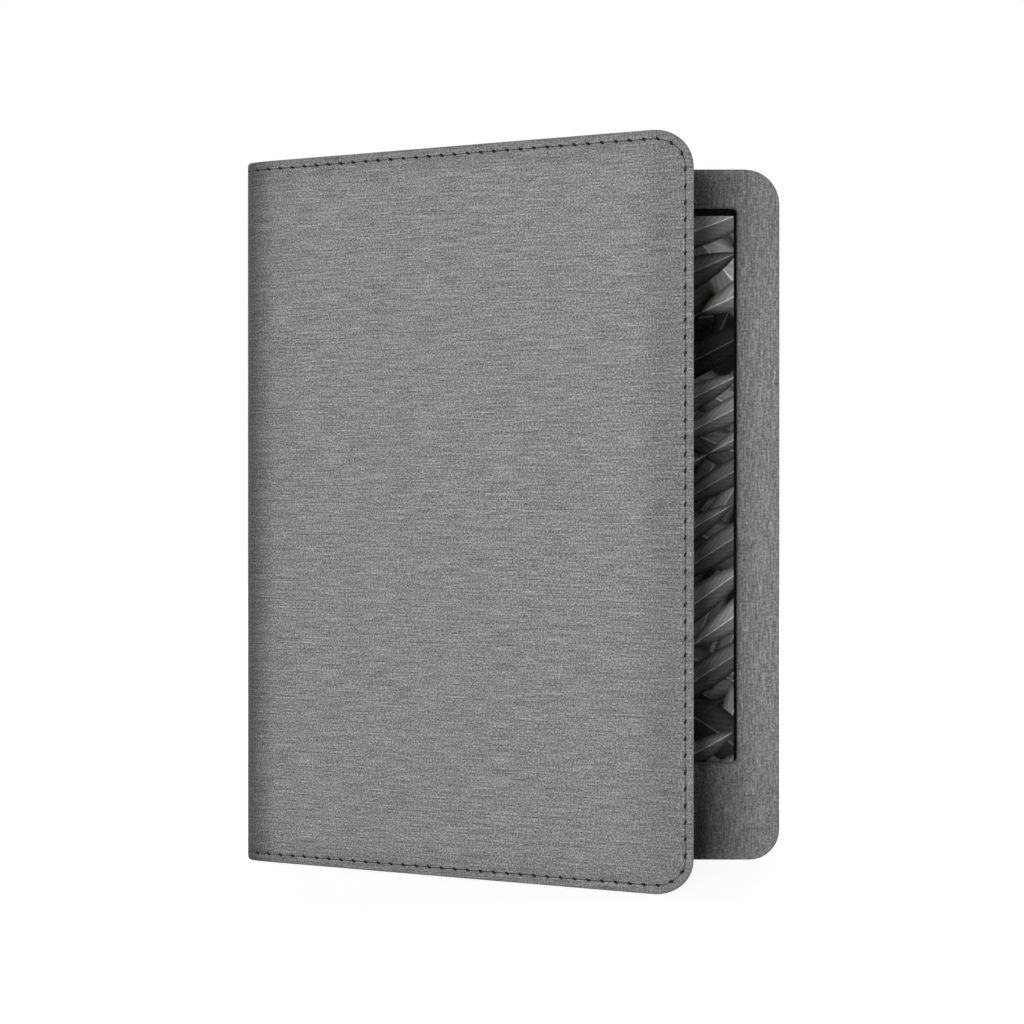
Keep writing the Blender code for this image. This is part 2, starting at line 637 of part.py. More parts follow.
def add_screw(name, place, head_depth, length, facing, frame):
    """A pan head screw. facing is 90 if its head looks forward and -90 if it looks back."""
    across, up = place
    head = SCREW_HEAD_DIAMETER / 2
    shank = SCREW_DIAMETER / 2
    profile = [
        (0.0, SCREW_HEAD_HEIGHT),
        ((head + shank) / 2, SCREW_HEAD_HEIGHT),
        (head, SCREW_HEAD_HEIGHT / 2),
        (head, 0.0),
        (shank, 0.0),
        (shank, -length),
        (0.0, -length),
    ]
    return turned(name, profile, SCREW_STEEL, frame, reader_point(across, head_depth, up), facing)


def add_rear_shell(frame):
    outline = reader_block(
        (0.0, READER_WIDTH), (0.0, READER_DEPTH), (0.0, READER_HEIGHT), radius=READER_CORNER_RADIUS
    )
    round_face_edges(outline, READER_BACK, READER_BACK_ROUNDING, segments=SMALL_SEGMENTS)
    round_face_edges(outline, READER_FRONT, READER_RIM_ROUNDING, segments=1)
    shell = add_piece("rear_shell", outline, SHELL_PLASTIC, frame)
    inside = (SHELL_WALL, READER_WIDTH - SHELL_WALL)
    inside_up = (SHELL_WALL, READER_HEIGHT - SHELL_WALL)
    inside_radius = READER_CORNER_RADIUS - SHELL_WALL
    cut(shell, reader_block(inside, (-CUT, FLOOR_DEPTH), inside_up, radius=inside_radius))
    boss = SCREW_HOLE + 2 * BOSS_WALL
    for place in shell_screw_places():
        join(shell, screw_rod(place, PLATE_BACK + GLUE, FLOOR_DEPTH + SHELL_FLOOR / 2, boss))
    for place in shell_screw_places():
        cut(shell, screw_rod(place, PLATE_BACK - CUT, FLOOR_DEPTH - FITTING_GAP, SCREW_HOLE))
    through = (-CUT, SHELL_WALL + CUT)
    seal_growth = 2 * (SEAL_WALL + 2 * SEAL_PLAY)
    cut(shell, edge_slot(PORT_X, PORT_WIDTH + seal_growth, PORT_THICKNESS + seal_growth, through))
    button_growth = 2 * FITTING_GAP
    cut(shell, edge_slot(BUTTON_X, BUTTON_WIDTH + button_growth, BUTTON_THICKNESS + button_growth, through))
    light_low = reader_point(LIGHT_X, EDGE_FITTINGS_DEPTH, through[0])
    light_high = reader_point(LIGHT_X, EDGE_FITTINGS_DEPTH, through[1])
    cut(shell, rod(light_low, light_high, LIGHT_PIPE_DIAMETER + 2 * FITTING_GAP))


def add_front(frame):
    """The lens that covers the whole front, and the black film printed round the picture behind it."""
    inset = SHELL_WALL + LENS_PLAY
    across = (inset, READER_WIDTH - inset)
    up = (inset, READER_HEIGHT - inset)
    corner = READER_CORNER_RADIUS - inset
    lens = reader_block(across, (0.0, LENS), up, radius=corner)
    add_piece("cover_lens", lens, CLEAR, frame)
    film_mesh = reader_block(across, (FILM_DEPTH, FILM_DEPTH + BORDER_FILM), up, radius=corner)
    film = add_piece("border_film", film_mesh, BLACK_FILM, frame)
    picture_across = (SIDE_BEZEL, READER_WIDTH - SIDE_BEZEL)
    picture_up = (BOTTOM_BEZEL, READER_HEIGHT - TOP_BEZEL)
    cut(film, reader_block(picture_across, (0.0, RIM_DEPTH + CUT), picture_up))


def add_display(frame):
    across = (STACK_LEFT, STACK_RIGHT)
    up = (STACK_FOOT, STACK_TOP)
    touch = reader_block(across, (RIM_DEPTH, RIM_DEPTH + TOUCH_SENSOR), up)
    add_piece("touch_sensor", touch, CLEAR, frame)
    guide = reader_block(across, (GUIDE_DEPTH, GUIDE_DEPTH + LIGHT_GUIDE), up)
    add_piece("light_guide", guide, CLEAR, frame)
    panel = reader_block(across, (PANEL_DEPTH, PANEL_DEPTH + PANEL), up)
    add_piece("display_panel", panel, E_PAPER, frame)
    strip_up = (RECESS_FOOT + RECESS_PLAY, STACK_FOOT - RECESS_PLAY)
    strip = reader_block(across, (GUIDE_DEPTH, GUIDE_DEPTH + LIGHT_GUIDE), strip_up)
    add_piece("light_strip", strip, RIBBON_FILM, frame)


def ribbon_slot(middle, width):
    half = width / 2 + RIBBON_SLOT_PLAY
    span = (middle - half, middle + half)
    return reader_block(span, (0.0, PLATE_BACK + CUT), (RIBBON_SLOT_FOOT, RECESS_FOOT + RECESS_PLAY))


def add_mid_frame(frame):
    inset = SHELL_WALL + MID_FRAME_PLAY
    outline = reader_block(
        (inset, READER_WIDTH - inset),
        (RIM_DEPTH, PLATE_BACK),
        (inset, READER_HEIGHT - inset),
        radius=READER_CORNER_RADIUS - inset,
    )
    mid_frame = add_piece("mid_frame", outline, MAGNESIUM, frame)
    recess_across = (STACK_LEFT - RECESS_PLAY, STACK_RIGHT + RECESS_PLAY)
    cut(mid_frame, reader_block(recess_across, (0.0, PLATE_FRONT), (RECESS_FOOT, STACK_TOP + RECESS_PLAY)))
    for middle, width in (
        (DISPLAY_RIBBON_X, DISPLAY_RIBBON_WIDTH),
        (TOUCH_RIBBON_X, TOUCH_RIBBON_WIDTH),
        (LIGHT_RIBBON_X, LIGHT_RIBBON_WIDTH),
    ):
        cut(mid_frame, ribbon_slot(middle, width))

    post = SCREW_HOLE + 2 * BOSS_WALL
    hole_floor = BOARD_BACK - BOARD_SCREW_LENGTH - FITTING_GAP
    for place in board_screw_places():
        join(mid_frame, screw_rod(place, PLATE_BACK - MID_FRAME_PLATE / 2, BOARD_DEPTH - GLUE, post))
    for place in board_screw_places():
        cut(mid_frame, screw_rod(place, hole_floor, BOARD_DEPTH + CUT, SCREW_HOLE))
    head_hole = SCREW_HEAD_DIAMETER + 2 * FITTING_GAP
    for place in shell_screw_places():
        cut(mid_frame, screw_rod(place, 0.0, SHELL_SCREW_SEAT + GLUE, head_hole))
        cut(mid_frame, screw_rod(place, 0.0, PLATE_BACK + CUT, SCREW_HOLE))

    for middle, width, thickness, top in (
        (PORT_X, PORT_WIDTH, PORT_THICKNESS, PORT_MOUTH + PORT_LENGTH),
        (BUTTON_X, FLANGE_WIDTH, FLANGE_THICKNESS, SWITCH_FOOT),
    ):
        half = width / 2 + 2 * FITTING_GAP
        front = EDGE_FITTINGS_DEPTH - thickness / 2 - FITTING_GAP
        notch_up = (0.0, top + FITTING_GAP)
        cut(mid_frame, reader_block((middle - half, middle + half), (front, PLATE_BACK + CUT), notch_up))


def add_power(frame):
    left = (READER_WIDTH - BATTERY_SIZE[0]) / 2
    across = (left, left + BATTERY_SIZE[0])
    up = (BATTERY_FOOT, BATTERY_FOOT + BATTERY_SIZE[2])
    tape_depth = PLATE_BACK + GLUE
    tape = reader_block(
        (across[0] + BATTERY_TAPE_INSET, across[1] - BATTERY_TAPE_INSET),
        (tape_depth, tape_depth + BATTERY_TAPE),
        (up[0] + BATTERY_TAPE_INSET, up[1] - BATTERY_TAPE_INSET),
    )
    add_piece("battery_tape", tape, ADHESIVE, frame)
    battery_depth = tape_depth + BATTERY_TAPE + GLUE
    battery_span = (battery_depth, battery_depth + BATTERY_SIZE[1])
    battery = reader_block(across, battery_span, up, along="Z", radius=BATTERY_ROUNDING, segments=2)
    add_piece("battery", battery, BATTERY_FOIL, frame)
    plug_top = BOARD_TOP - BATTERY_PLUG_INSET
    plug_x = READER_WIDTH / 2 + BATTERY_PLUG_FROM_MIDDLE
    plug_place = (plug_x, plug_top - BATTERY_PLUG_SIZE[2] / 2)
    add_chip("battery_connector", plug_place, BATTERY_PLUG_SIZE, BLACK_PLASTIC, frame)
    plug_middle = MOUNTED_DEPTH + BATTERY_PLUG_SIZE[1] / 2
    battery_middle = sum(battery_span) / 2
    lead = [
        (plug_middle, plug_top + FITTING_GAP),
        (plug_middle, (plug_top + BATTERY_FOOT) / 2),
        (battery_middle, BATTERY_FOOT - BATTERY_LEAD_BEND),
        (battery_middle, BATTERY_FOOT - FITTING_GAP),
    ]
    ribbon("battery_lead", lead, plug_x, BATTERY_LEAD_WIDTH, frame)


def add_chip(name, centre, size, material, frame):
    """A part soldered on the board's rear face, from its centre (across, up) and its size."""
    across = (centre[0] - size[0] / 2, centre[0] + size[0] / 2)
    up = (centre[1] - size[2] / 2, centre[1] + size[2] / 2)
    mesh = reader_block(across, (MOUNTED_DEPTH, MOUNTED_DEPTH + size[1]), up)
    return add_piece(name, mesh, material, frame)


def add_electronics(frame):
    board_up = (CIRCUIT_BOARD_FOOT, BOARD_TOP)
    board_mesh = reader_block((BOARD_LEFT, BOARD_RIGHT), (BOARD_DEPTH, BOARD_BACK), board_up)
    board = add_piece("main_board", board_mesh, CIRCUIT, frame)
    port_half = PORT_WIDTH / 2 + FITTING_GAP
    port_across = (PORT_X - port_half, PORT_X + port_half)
    port_up = (0.0, PORT_MOUTH + PORT_LENGTH + FITTING_GAP)
    cut(board, reader_block(port_across, (BOARD_DEPTH - CUT, BOARD_BACK + CUT), port_up))
    for place in board_screw_places():
        cut(board, screw_rod(place, BOARD_DEPTH - CUT, BOARD_BACK + CUT, SCREW_HOLE))

    middle = READER_WIDTH / 2
    shield_place = (middle + SHIELD_FROM_MIDDLE, CHIP_HEIGHT)
    shield = add_chip("processor_shield", shield_place, SHIELD_SIZE, SHIELD_METAL, frame)
    half_width = SHIELD_SIZE[0] / 2 - SHIELD_WALL
    half_height = SHIELD_SIZE[2] / 2 - SHIELD_WALL
    hollow = reader_block(
        (shield_place[0] - half_width, shield_place[0] + half_width),
        (MOUNTED_DEPTH - CUT, MOUNTED_DEPTH + SHIELD_SIZE[1] - SHIELD_WALL),
        (shield_place[1] - half_height, shield_place[1] + half_height),
    )
    cut(shield, hollow)
    add_chip("processor", shield_place, PROCESSOR_SIZE, BLACK_PLASTIC, frame)
    wireless_place = (middle + WIRELESS_FROM_MIDDLE, CHIP_HEIGHT)
    add_chip("wireless_module", wireless_place, WIRELESS_SIZE, SHIELD_METAL, frame)
    power_chip_place = (middle + POWER_CHIP_FROM_MIDDLE, CHIP_HEIGHT)
    add_chip("power_chip", power_chip_place, POWER_CHIP_SIZE, BLACK_PLASTIC, frame)
    add_chip("hall_sensor", (HALL_SENSOR_X, CHIP_HEIGHT), HALL_SENSOR_SIZE, BLACK_PLASTIC, frame)

    floor = FLOOR_DEPTH - GLUE
    left = SHELL_WALL + ANTENNA_INSET
    antenna_up = (ANTENNA_FOOT, ANTENNA_FOOT + ANTENNA_SIZE[2])
    antenna = reader_block((left, left + ANTENNA_SIZE[0]), (floor - ANTENNA_SIZE[1], floor), antenna_up)
    add_piece("antenna", antenna, RIBBON_FILM, frame)


def add_ribbons(frame):
    """Ribbons from the display's lower edge, back through slots in the mid frame and onto the board."""
    slot_top = RECESS_FOOT - RECESS_PLAY
    on_board = BOARD_DEPTH - GLUE - RIBBON
    tail = [
        (PLATE_BACK, RIBBON_SLOT_FOOT + 0.6 * (slot_top - RIBBON_SLOT_FOOT)),
        (on_board, RIBBON_SLOT_FOOT + 0.2 * (slot_top - RIBBON_SLOT_FOOT)),
        (on_board, RIBBON_SLOT_FOOT - RIBBON_OVERLAP),
    ]
    stack_end = STACK_FOOT - FITTING_GAP
    panel_middle = PANEL_DEPTH + PANEL / 2
    display_path = [(panel_middle, stack_end), (panel_middle, slot_top)] + tail
    ribbon("display_ribbon", display_path, DISPLAY_RIBBON_X, DISPLAY_RIBBON_WIDTH, frame)
    touch_middle = RIM_DEPTH + TOUCH_SENSOR / 2
    touch_path = [(touch_middle, stack_end), (touch_middle, slot_top)] + tail
    ribbon("touch_ribbon", touch_path, TOUCH_RIBBON_X, TOUCH_RIBBON_WIDTH, frame)
    guide_middle = GUIDE_DEPTH + LIGHT_GUIDE / 2
    strip_foot = RECESS_FOOT + RECESS_PLAY
    light_path = [(guide_middle, strip_foot - FITTING_GAP), (PANEL_DEPTH, slot_top - 2 * RECESS_PLAY)] + tail
    ribbon("light_ribbon", light_path, LIGHT_RIBBON_X, LIGHT_RIBBON_WIDTH, frame)


def add_port(frame):
    up = (PORT_MOUTH, PORT_MOUTH + PORT_LENGTH)
    port = add_piece("usb_port", edge_slot(PORT_X, PORT_WIDTH, PORT_THICKNESS, up), PORT_STEEL, frame)
    bore_up = (-CUT, up[1] - PORT_WALL)
    cut(port, edge_slot(PORT_X, PORT_WIDTH - 2 * PORT_WALL, PORT_THICKNESS - 2 * PORT_WALL, bore_up))
    width, thickness, length = PORT_TONGUE
    tongue_up = (up[1] - PORT_WALL - length, up[1] - PORT_WALL / 2)
    tongue_depth = (EDGE_FITTINGS_DEPTH - thickness / 2, EDGE_FITTINGS_DEPTH + thickness / 2)
    join(port, reader_block((PORT_X - width / 2, PORT_X + width / 2), tongue_depth, tongue_up))

    inner = 2 * SEAL_PLAY
    outer = inner + 2 * SEAL_WALL
    seal_up = (PORT_MOUTH, SHELL_WALL)
    seal_mesh = edge_slot(PORT_X, PORT_WIDTH + outer, PORT_THICKNESS + outer, seal_up)
    seal = add_piece("port_seal", seal_mesh, SILICONE, frame)
    cut(seal, edge_slot(PORT_X, PORT_WIDTH + inner, PORT_THICKNESS + inner, (0.0, SHELL_WALL + CUT)))


def add_status_light(frame):
    low = reader_point(LIGHT_X, EDGE_FITTINGS_DEPTH, LIGHT_PIPE_START)
    high = reader_point(LIGHT_X, EDGE_FITTINGS_DEPTH, LIGHT_PIPE_START + LIGHT_PIPE_LENGTH)
    add_piece("light_pipe", rod(low, high, LIGHT_PIPE_DIAMETER), CLEAR, frame)
    lamp_up = (LIGHT_PIPE_START + LIGHT_PIPE_LENGTH + FITTING_GAP, CIRCUIT_BOARD_FOOT - FITTING_GAP)
    half = LIGHT_PIPE_DIAMETER / 2
    lamp_depth = (EDGE_FITTINGS_DEPTH - half, EDGE_FITTINGS_DEPTH + half)
    lamp = reader_block((LIGHT_X - half, LIGHT_X + half), lamp_depth, lamp_up)
    add_piece("status_lamp", lamp, LAMP_PACKAGE, frame)


def add_power_button(frame):
    """The button slides up into the reader; its flange keeps it in and its stem meets the switch."""
    cap_up = (-BUTTON_PROUD, BUTTON_FLANGE_FOOT + BUTTON_FLANGE / 2)
    cap = edge_slot(BUTTON_X, BUTTON_WIDTH, BUTTON_THICKNESS, cap_up)
    button = add_piece("power_button", cap, BUTTON_PLASTIC, frame)
    flange_top = BUTTON_FLANGE_FOOT + BUTTON_FLANGE
    join(button, edge_slot(BUTTON_X, FLANGE_WIDTH, FLANGE_THICKNESS, (BUTTON_FLANGE_FOOT, flange_top)))
    stem_low = reader_point(BUTTON_X, EDGE_FITTINGS_DEPTH, flange_top - BUTTON_FLANGE / 2)
    stem_high = reader_point(BUTTON_X, EDGE_FITTINGS_DEPTH, flange_top + BUTTON_STEM_LENGTH)
    join(button, rod(stem_low, stem_high, BUTTON_STEM_DIAMETER))


def add_button_switch(frame):
    width, depth = SWITCH_SIZE
    across = (BUTTON_X - width / 2, BUTTON_X + width / 2)
    switch_depth = (EDGE_FITTINGS_DEPTH - depth / 2, EDGE_FITTINGS_DEPTH + depth / 2)
    switch = reader_block(across, switch_depth, (SWITCH_FOOT, CIRCUIT_BOARD_FOOT - FITTING_GAP))
    add_piece("button_switch", switch, SHIELD_METAL, frame)


def add_screws(frame):
    for number, place in enumerate(shell_screw_places(), start=1):
        add_screw(f"shell_screw_{number}", place, SHELL_SCREW_SEAT, SHELL_SCREW_LENGTH, 90, frame)
    for number, place in enumerate(board_screw_places(), start=1):
        add_screw(f"board_screw_{number}", place, BOARD_BACK + GLUE, BOARD_SCREW_LENGTH, -90, frame)


def add_reader(frame):
    add_rear_shell(frame)
    add_front(frame)
    add_display(frame)
    add_mid_frame(frame)
    add_power(frame)
    add_electronics(frame)
    add_ribbons(frame)
    add_port(frame)
    add_status_light(frame)
    add_button_switch(frame)
    add_screws(frame)


def stand_on_origin(frame):
    """Moves the whole model so that the middle of the base of its box is the origin."""
    bpy.context.view_layer.update()
    graph = bpy.context.evaluated_depsgraph_get()
    points = []
    for piece in PARTS.objects:
        if piece.type == "EMPTY":
            continue
        shown = piece.evaluated_get(graph)
        points += [shown.matrix_world @ vertex.co for vertex in shown.to_mesh().vertices]
        shown.to_mesh_clear()
    low = Vector([min(p[i] for p in points) for i in range(3)])
    high = Vector([max(p[i] for p in points) for i in range(3)])
    frame.location -= Vector(((low.x + high.x) / 2, (low.y + high.y) / 2, low.z))
    bpy.context.view_layer.update()


clear_scene()
PARTS = new_collection("e_reader_in_folio")
CUTTERS = new_collection("cutters")

CLOTH = finish("grey_cloth", (0.24, 0.24, 0.24), 0.9)
GREYBOARD = finish("greyboard", (0.35, 0.33, 0.30), 0.9)
MICROFIBRE = finish("microfibre", (0.07, 0.07, 0.075), 0.95)
STIFFENER = finish("stiffener", (0.10, 0.10, 0.10), 0.6)
FOAM = finish("spacer_foam", (0.05, 0.05, 0.05), 0.9)
THREAD = finish("sewing_thread", (0.03, 0.03, 0.03), 0.8)
MAGNET = finish("nickel_magnet", (0.6, 0.6, 0.6), 0.3, 1.0)
SHELL_PLASTIC = finish("shell_plastic", (0.012, 0.012, 0.013), 0.6)
BLACK_PLASTIC = finish("black_plastic", (0.02, 0.02, 0.02), 0.5)
BLACK_FILM = finish("black_film", (0.008, 0.008, 0.008), 0.5)
CLEAR = finish("clear", (0.85, 0.88, 0.88), 0.1)
E_PAPER = finish("e_paper", (0.45, 0.45, 0.43), 0.7)
MAGNESIUM = finish("magnesium", (0.45, 0.45, 0.46), 0.45, 1.0)
BATTERY_FOIL = finish("battery_foil", (0.30, 0.30, 0.31), 0.4, 0.6)
ADHESIVE = finish("adhesive", (0.6, 0.6, 0.55), 0.6)
CIRCUIT = finish("circuit_board", (0.01, 0.06, 0.03), 0.4)
SHIELD_METAL = finish("shield_metal", (0.55, 0.55, 0.56), 0.35, 1.0)
PORT_STEEL = finish("port_steel", (0.5, 0.5, 0.5), 0.3, 1.0)
SILICONE = finish("silicone", (0.03, 0.03, 0.03), 0.7)
LAMP_PACKAGE = finish("lamp_package", (0.8, 0.8, 0.75), 0.4)
BUTTON_PLASTIC = finish("button_plastic", (0.02, 0.02, 0.02), 0.4)
RIBBON_FILM = finish("ribbon_film", (0.25, 0.12, 0.02), 0.5)
SCREW_STEEL = finish("screw_steel", (0.4, 0.4, 0.4), 0.3, 1.0)

CASE_FRAME = new_frame("case_frame", None, (0.0, 0.0, 0.0))
SPINE_FOLD = new_frame("spine_fold", CASE_FRAME, (0.0, 0.0, 0.0), -HALF_OPENING)
COVER_FOLD = new_frame("cover_fold", SPINE_FOLD, (0.0, -SPINE_SPAN, 0.0), -HALF_OPENING)
BUTTON_SLIDE = new_frame("button_slide", CASE_FRAME, (0.0, 0.0, 0.0))

add_back_cover(CASE_FRAME)
add_window_frame(CASE_FRAME)
add_reader(CASE_FRAME)
add_power_button(BUTTON_SLIDE)
add_spine(SPINE_FOLD)
add_front_cover(COVER_FOLD)
stand_on_origin(CASE_FRAME)
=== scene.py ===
"""Looks for an e-paper reader in a fabric folio that stands on its lower edge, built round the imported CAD.

Lengths are in metres. A cover is described by u, the distance along its outer face from the middle of
the spine, v, the height above its lower edge, and w, the depth below its outer face.
"""

import json
from copy import copy
from math import atan2, ceil, cos, hypot, inf, pi, radians, sin

import bmesh
import bpy
import numpy as np
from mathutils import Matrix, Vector


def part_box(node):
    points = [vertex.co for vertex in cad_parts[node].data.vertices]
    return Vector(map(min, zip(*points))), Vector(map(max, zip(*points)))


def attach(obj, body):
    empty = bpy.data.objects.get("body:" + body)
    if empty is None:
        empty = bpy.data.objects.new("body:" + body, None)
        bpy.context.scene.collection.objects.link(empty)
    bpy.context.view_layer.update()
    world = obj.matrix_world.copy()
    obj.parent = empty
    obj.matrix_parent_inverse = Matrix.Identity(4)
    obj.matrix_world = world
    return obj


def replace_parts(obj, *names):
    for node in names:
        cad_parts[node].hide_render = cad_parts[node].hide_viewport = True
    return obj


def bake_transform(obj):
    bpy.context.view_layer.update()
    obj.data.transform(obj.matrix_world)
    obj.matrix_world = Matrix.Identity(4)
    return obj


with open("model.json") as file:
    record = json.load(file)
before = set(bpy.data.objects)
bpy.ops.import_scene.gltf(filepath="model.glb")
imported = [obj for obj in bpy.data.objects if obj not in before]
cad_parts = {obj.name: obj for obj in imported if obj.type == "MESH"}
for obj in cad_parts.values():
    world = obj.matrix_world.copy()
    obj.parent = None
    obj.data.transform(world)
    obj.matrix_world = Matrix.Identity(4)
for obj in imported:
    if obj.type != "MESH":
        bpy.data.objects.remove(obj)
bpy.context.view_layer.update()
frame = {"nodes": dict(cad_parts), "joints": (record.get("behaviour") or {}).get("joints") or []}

# Folio -------------------------------------------------------------------------------------------
COVER = 0.0020                     # a cover's thickness
CLOTH = 0.0004
LINING = 0.00035
INNER_FACE = 0.0019                # depth of the cloth turned in under the lining's edge
TURN_IN = 0.0060                   # how far it reaches in from the cover's edge
EDGE_ROUND = 0.00095
LINING_INSET = 0.0012
LINING_INSET_FREE_EDGE = 0.0009
LINING_ROUND = 0.00018
# (foot, top) corners, each given by its length along the cover and its height
COVER_CORNERS = ((0.0108, 0.0086), (0.0111, 0.0092))
CASE_CORNERS = ((0.0077, 0.0077), (0.0090, 0.0090))
BOARD_CORNER = 0.0085
WALL_SEAM = 0.00015                # the pocket's walls begin this far past the edge's rounding
WALL_TO_FRAME = 0.00008
NOTCH_ROUND = 0.0012

# Folds: a tight arc, and then a slower one that ends in the flat cover
FOLD_RADIUS = 0.0030
FOLD_TAIL = 0.0100
COVER_TAIL_TURN = radians(18)
CASE_TAIL_TURN = radians(7)
BEND_REACH = 0.0054                # the cloth bends this far to each side of a joint
# The cloth is a little lower along the spine, up to FOLD_DROP_FROM inside a fold, and it has its full height
# from FOLD_DROP_TO outside the fold
FOLD_DROP_FROM = 0.0040
FOLD_DROP_TO = 0.0008
FOOT_RAISED_AT_FOLD = 0.0004
TOP_AT_FOLD = 0.1786

# Painted shade, darker tones that stand in for shade: (from, to, how much), with distances from a fold, an
# edge or an end
FOLD_SHADE = (0.0026, 0.0104, 0.53)
FOLD_SHADE_TAIL = (0.0040, 0.0240, 0.12)
EDGE_SHADE = (0.0030, 0.0080, 0.13)
FREE_EDGE_SHADE = (0.0075, 0.0170, 0.18)
FRAME_END_SHADE = (0.010, 0.034, 0.15)
SPINE_SHADE_PACE = 2.5             # on the spine's side of a fold they fade this much faster

# Meshes: the finest columns at the fold, wider ones in its tail, and the plain grid
FOLD_STEP = 0.00045
TAIL_STEP = 0.001
GRID_STEP = 0.004
GRID_INSET = 0.0042                # the grid stops here, and rings go on to the edge
ARC_STEPS = 9
PAIR = 0.00001                     # between the two columns where the pocket's walls begin
ARC = 1.57                         # a quarter round's length, in radii

# Window and screen
WINDOW_CORNER = 0.0014
WINDOW_EDGE_ROUND = 0.0011
FRAME_INNER_CORNER = 0.0030
FRAME_EDGE_ROUND = 0.0006
FRAME_MARGIN = 0.008               # a frame's outer outline is within this of its box, the inner one isn't
ON_FACE = 0.0001                   # vertices this near to a face belong to it
TINY = 1e-6
LENS_CORNER = 0.0060
LENS_CHAMFER = 0.00012
PICTURE_CORNER = 0.0004
PICTURE_UNDER_WINDOW_EDGE = 0.0004
CLEAR_GAP = 0.00005

# Seam --------------------------------------------------------------------------------------------
SEAM_INSET = 0.0022
SEAM_INSET_FREE_EDGE = 0.0016
SEAM_STEP = 0.0005
SEAM_TO_POCKET = 0.001             # inside the back, the seam stops this far before the pocket
STITCH_PITCH = 0.0039
STITCH_SLANT = radians(28)
STITCH_LENGTH = 0.00145
STITCH_WIDTH = 0.00084
STITCH_HEIGHT = 0.00038
STITCH_SINK = 0.00011
# (place along a stitch from -1 to 1, share of its full width)
STITCH_PROFILE = ((-1, 0.12), (-0.85, 0.55), (-0.5, 0.9), (0, 1.0), (0.5, 0.9), (0.85, 0.55), (1, 0.12))
THREAD = 0.00020
# (share of the way from stitch to stitch, the thread's depth)
THREAD_PATH = ((0.12, 0.00012), (0.3, 0.00008), (0.5, 0.00006), (0.7, 0.00008), (0.88, 0.00012))
# (offset from the seam, depth)
GROOVE = (
    (-0.00055, 0.0), (-0.00028, 0.00003), (-0.00012, 0.0001), (0.0, 0.00013),
    (0.00012, 0.0001), (0.00028, 0.00003), (0.00055, 0.0),
)

# Patterns ----------------------------------------------------------------------------------------
WEAVE_PITCH = 0.00046
# The picture's layers of leaves: (slope in degrees, width, length, seed)
LEAVES = (
    (12, 0.0105, 0.052, 1.3), (61, 0.0090, 0.046, 5.1), (-38, 0.0120, 0.060, 8.7), (27, 0.0085, 0.044, 12.2),
)

# Camera and light --------------------------------------------------------------------------------
CAMERA_RIGHT_OF_FOLD = 0.06752
CAMERA_FROM_FOLD = 0.7898
CAMERA_HEIGHT = 0.0909
CAMERA_PITCH = radians(-0.111)
LENS_MM = 108.2
AMBIENT_FRONT = 0.035
AMBIENT_REAR = 0.45
# (name, azimuth in degrees from -Y towards +X, height, distance, (width, height), level)
LAMPS = (
    ("key", -9.1, 0.08, 2.0, (0.365, 0.36), 1.2),
    ("rear", 180, 1.5, 1.5, (0.8, 0.8), 0.7),
    ("right", 102, 0.30, 2.0, (0.5, 0.8), 0.35),
    ("left", -130, 0.30, 2.0, (0.5, 0.8), 0.25),
)
FLOOR_HALF = 6.0
FLOOR_TONE = 0.45
FLOOR_GLOW = (0.25, 1.0, 0.89, 1.0)  # (near, far, glow near, glow far), seen directly

# The frame's lines -------------------------------------------------------------------------------
JOINTS = {joint["name"]: joint for joint in frame["joints"]}
REAR_FOLD = Vector(JOINTS["spine_fold"]["pos_m"])
FRONT_FOLD = Vector(JOINTS["cover_fold"]["pos_m"])


def middle(node):
    low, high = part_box(node)
    return (low + high) / 2


def flat(vector):
    """The vector's direction in plan."""
    return Vector((vector[0], vector[1], 0.0)).normalized()


SPINE_WAY = flat(FRONT_FOLD - REAR_FOLD)
COVER_WAY = flat(middle("cover_magnet_upper") - FRONT_FOLD)
COVER_OUT = Vector((COVER_WAY.y, -COVER_WAY.x, 0.0))
SPINE_OUT = Vector((SPINE_WAY.y, -SPINE_WAY.x, 0.0))
SPINE_MIDDLE = (REAR_FOLD + FRONT_FOLD) / 2 + SPINE_OUT * COVER / 2
COVER_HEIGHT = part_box("front_cover_skin")[1].z
CASE_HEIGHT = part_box("back_cover_skin")[1].z
COVER_WIDTH = (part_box("front_cover_skin")[1].x - FRONT_FOLD.x + COVER_OUT.x * COVER / 2) / COVER_WAY.x
CASE_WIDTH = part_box("back_cover_skin")[1].x - REAR_FOLD.x
POCKET_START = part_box("window_frame_skin")[0].x - REAR_FOLD.x
WALL_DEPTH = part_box("back_cover_skin")[1].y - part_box("window_frame_skin")[1].y - WALL_TO_FRAME


def smooth(low, high, value):
    """A smooth step from 0 at low to 1 at high."""
    t = np.clip((np.asarray(value, float) - low) / (high - low), 0, 1)
    return t * t * (3 - 2 * t)


def quarter(steps):
    """Angles round a quarter circle."""
    return [radians(90 * k / steps) for k in range(steps + 1)]


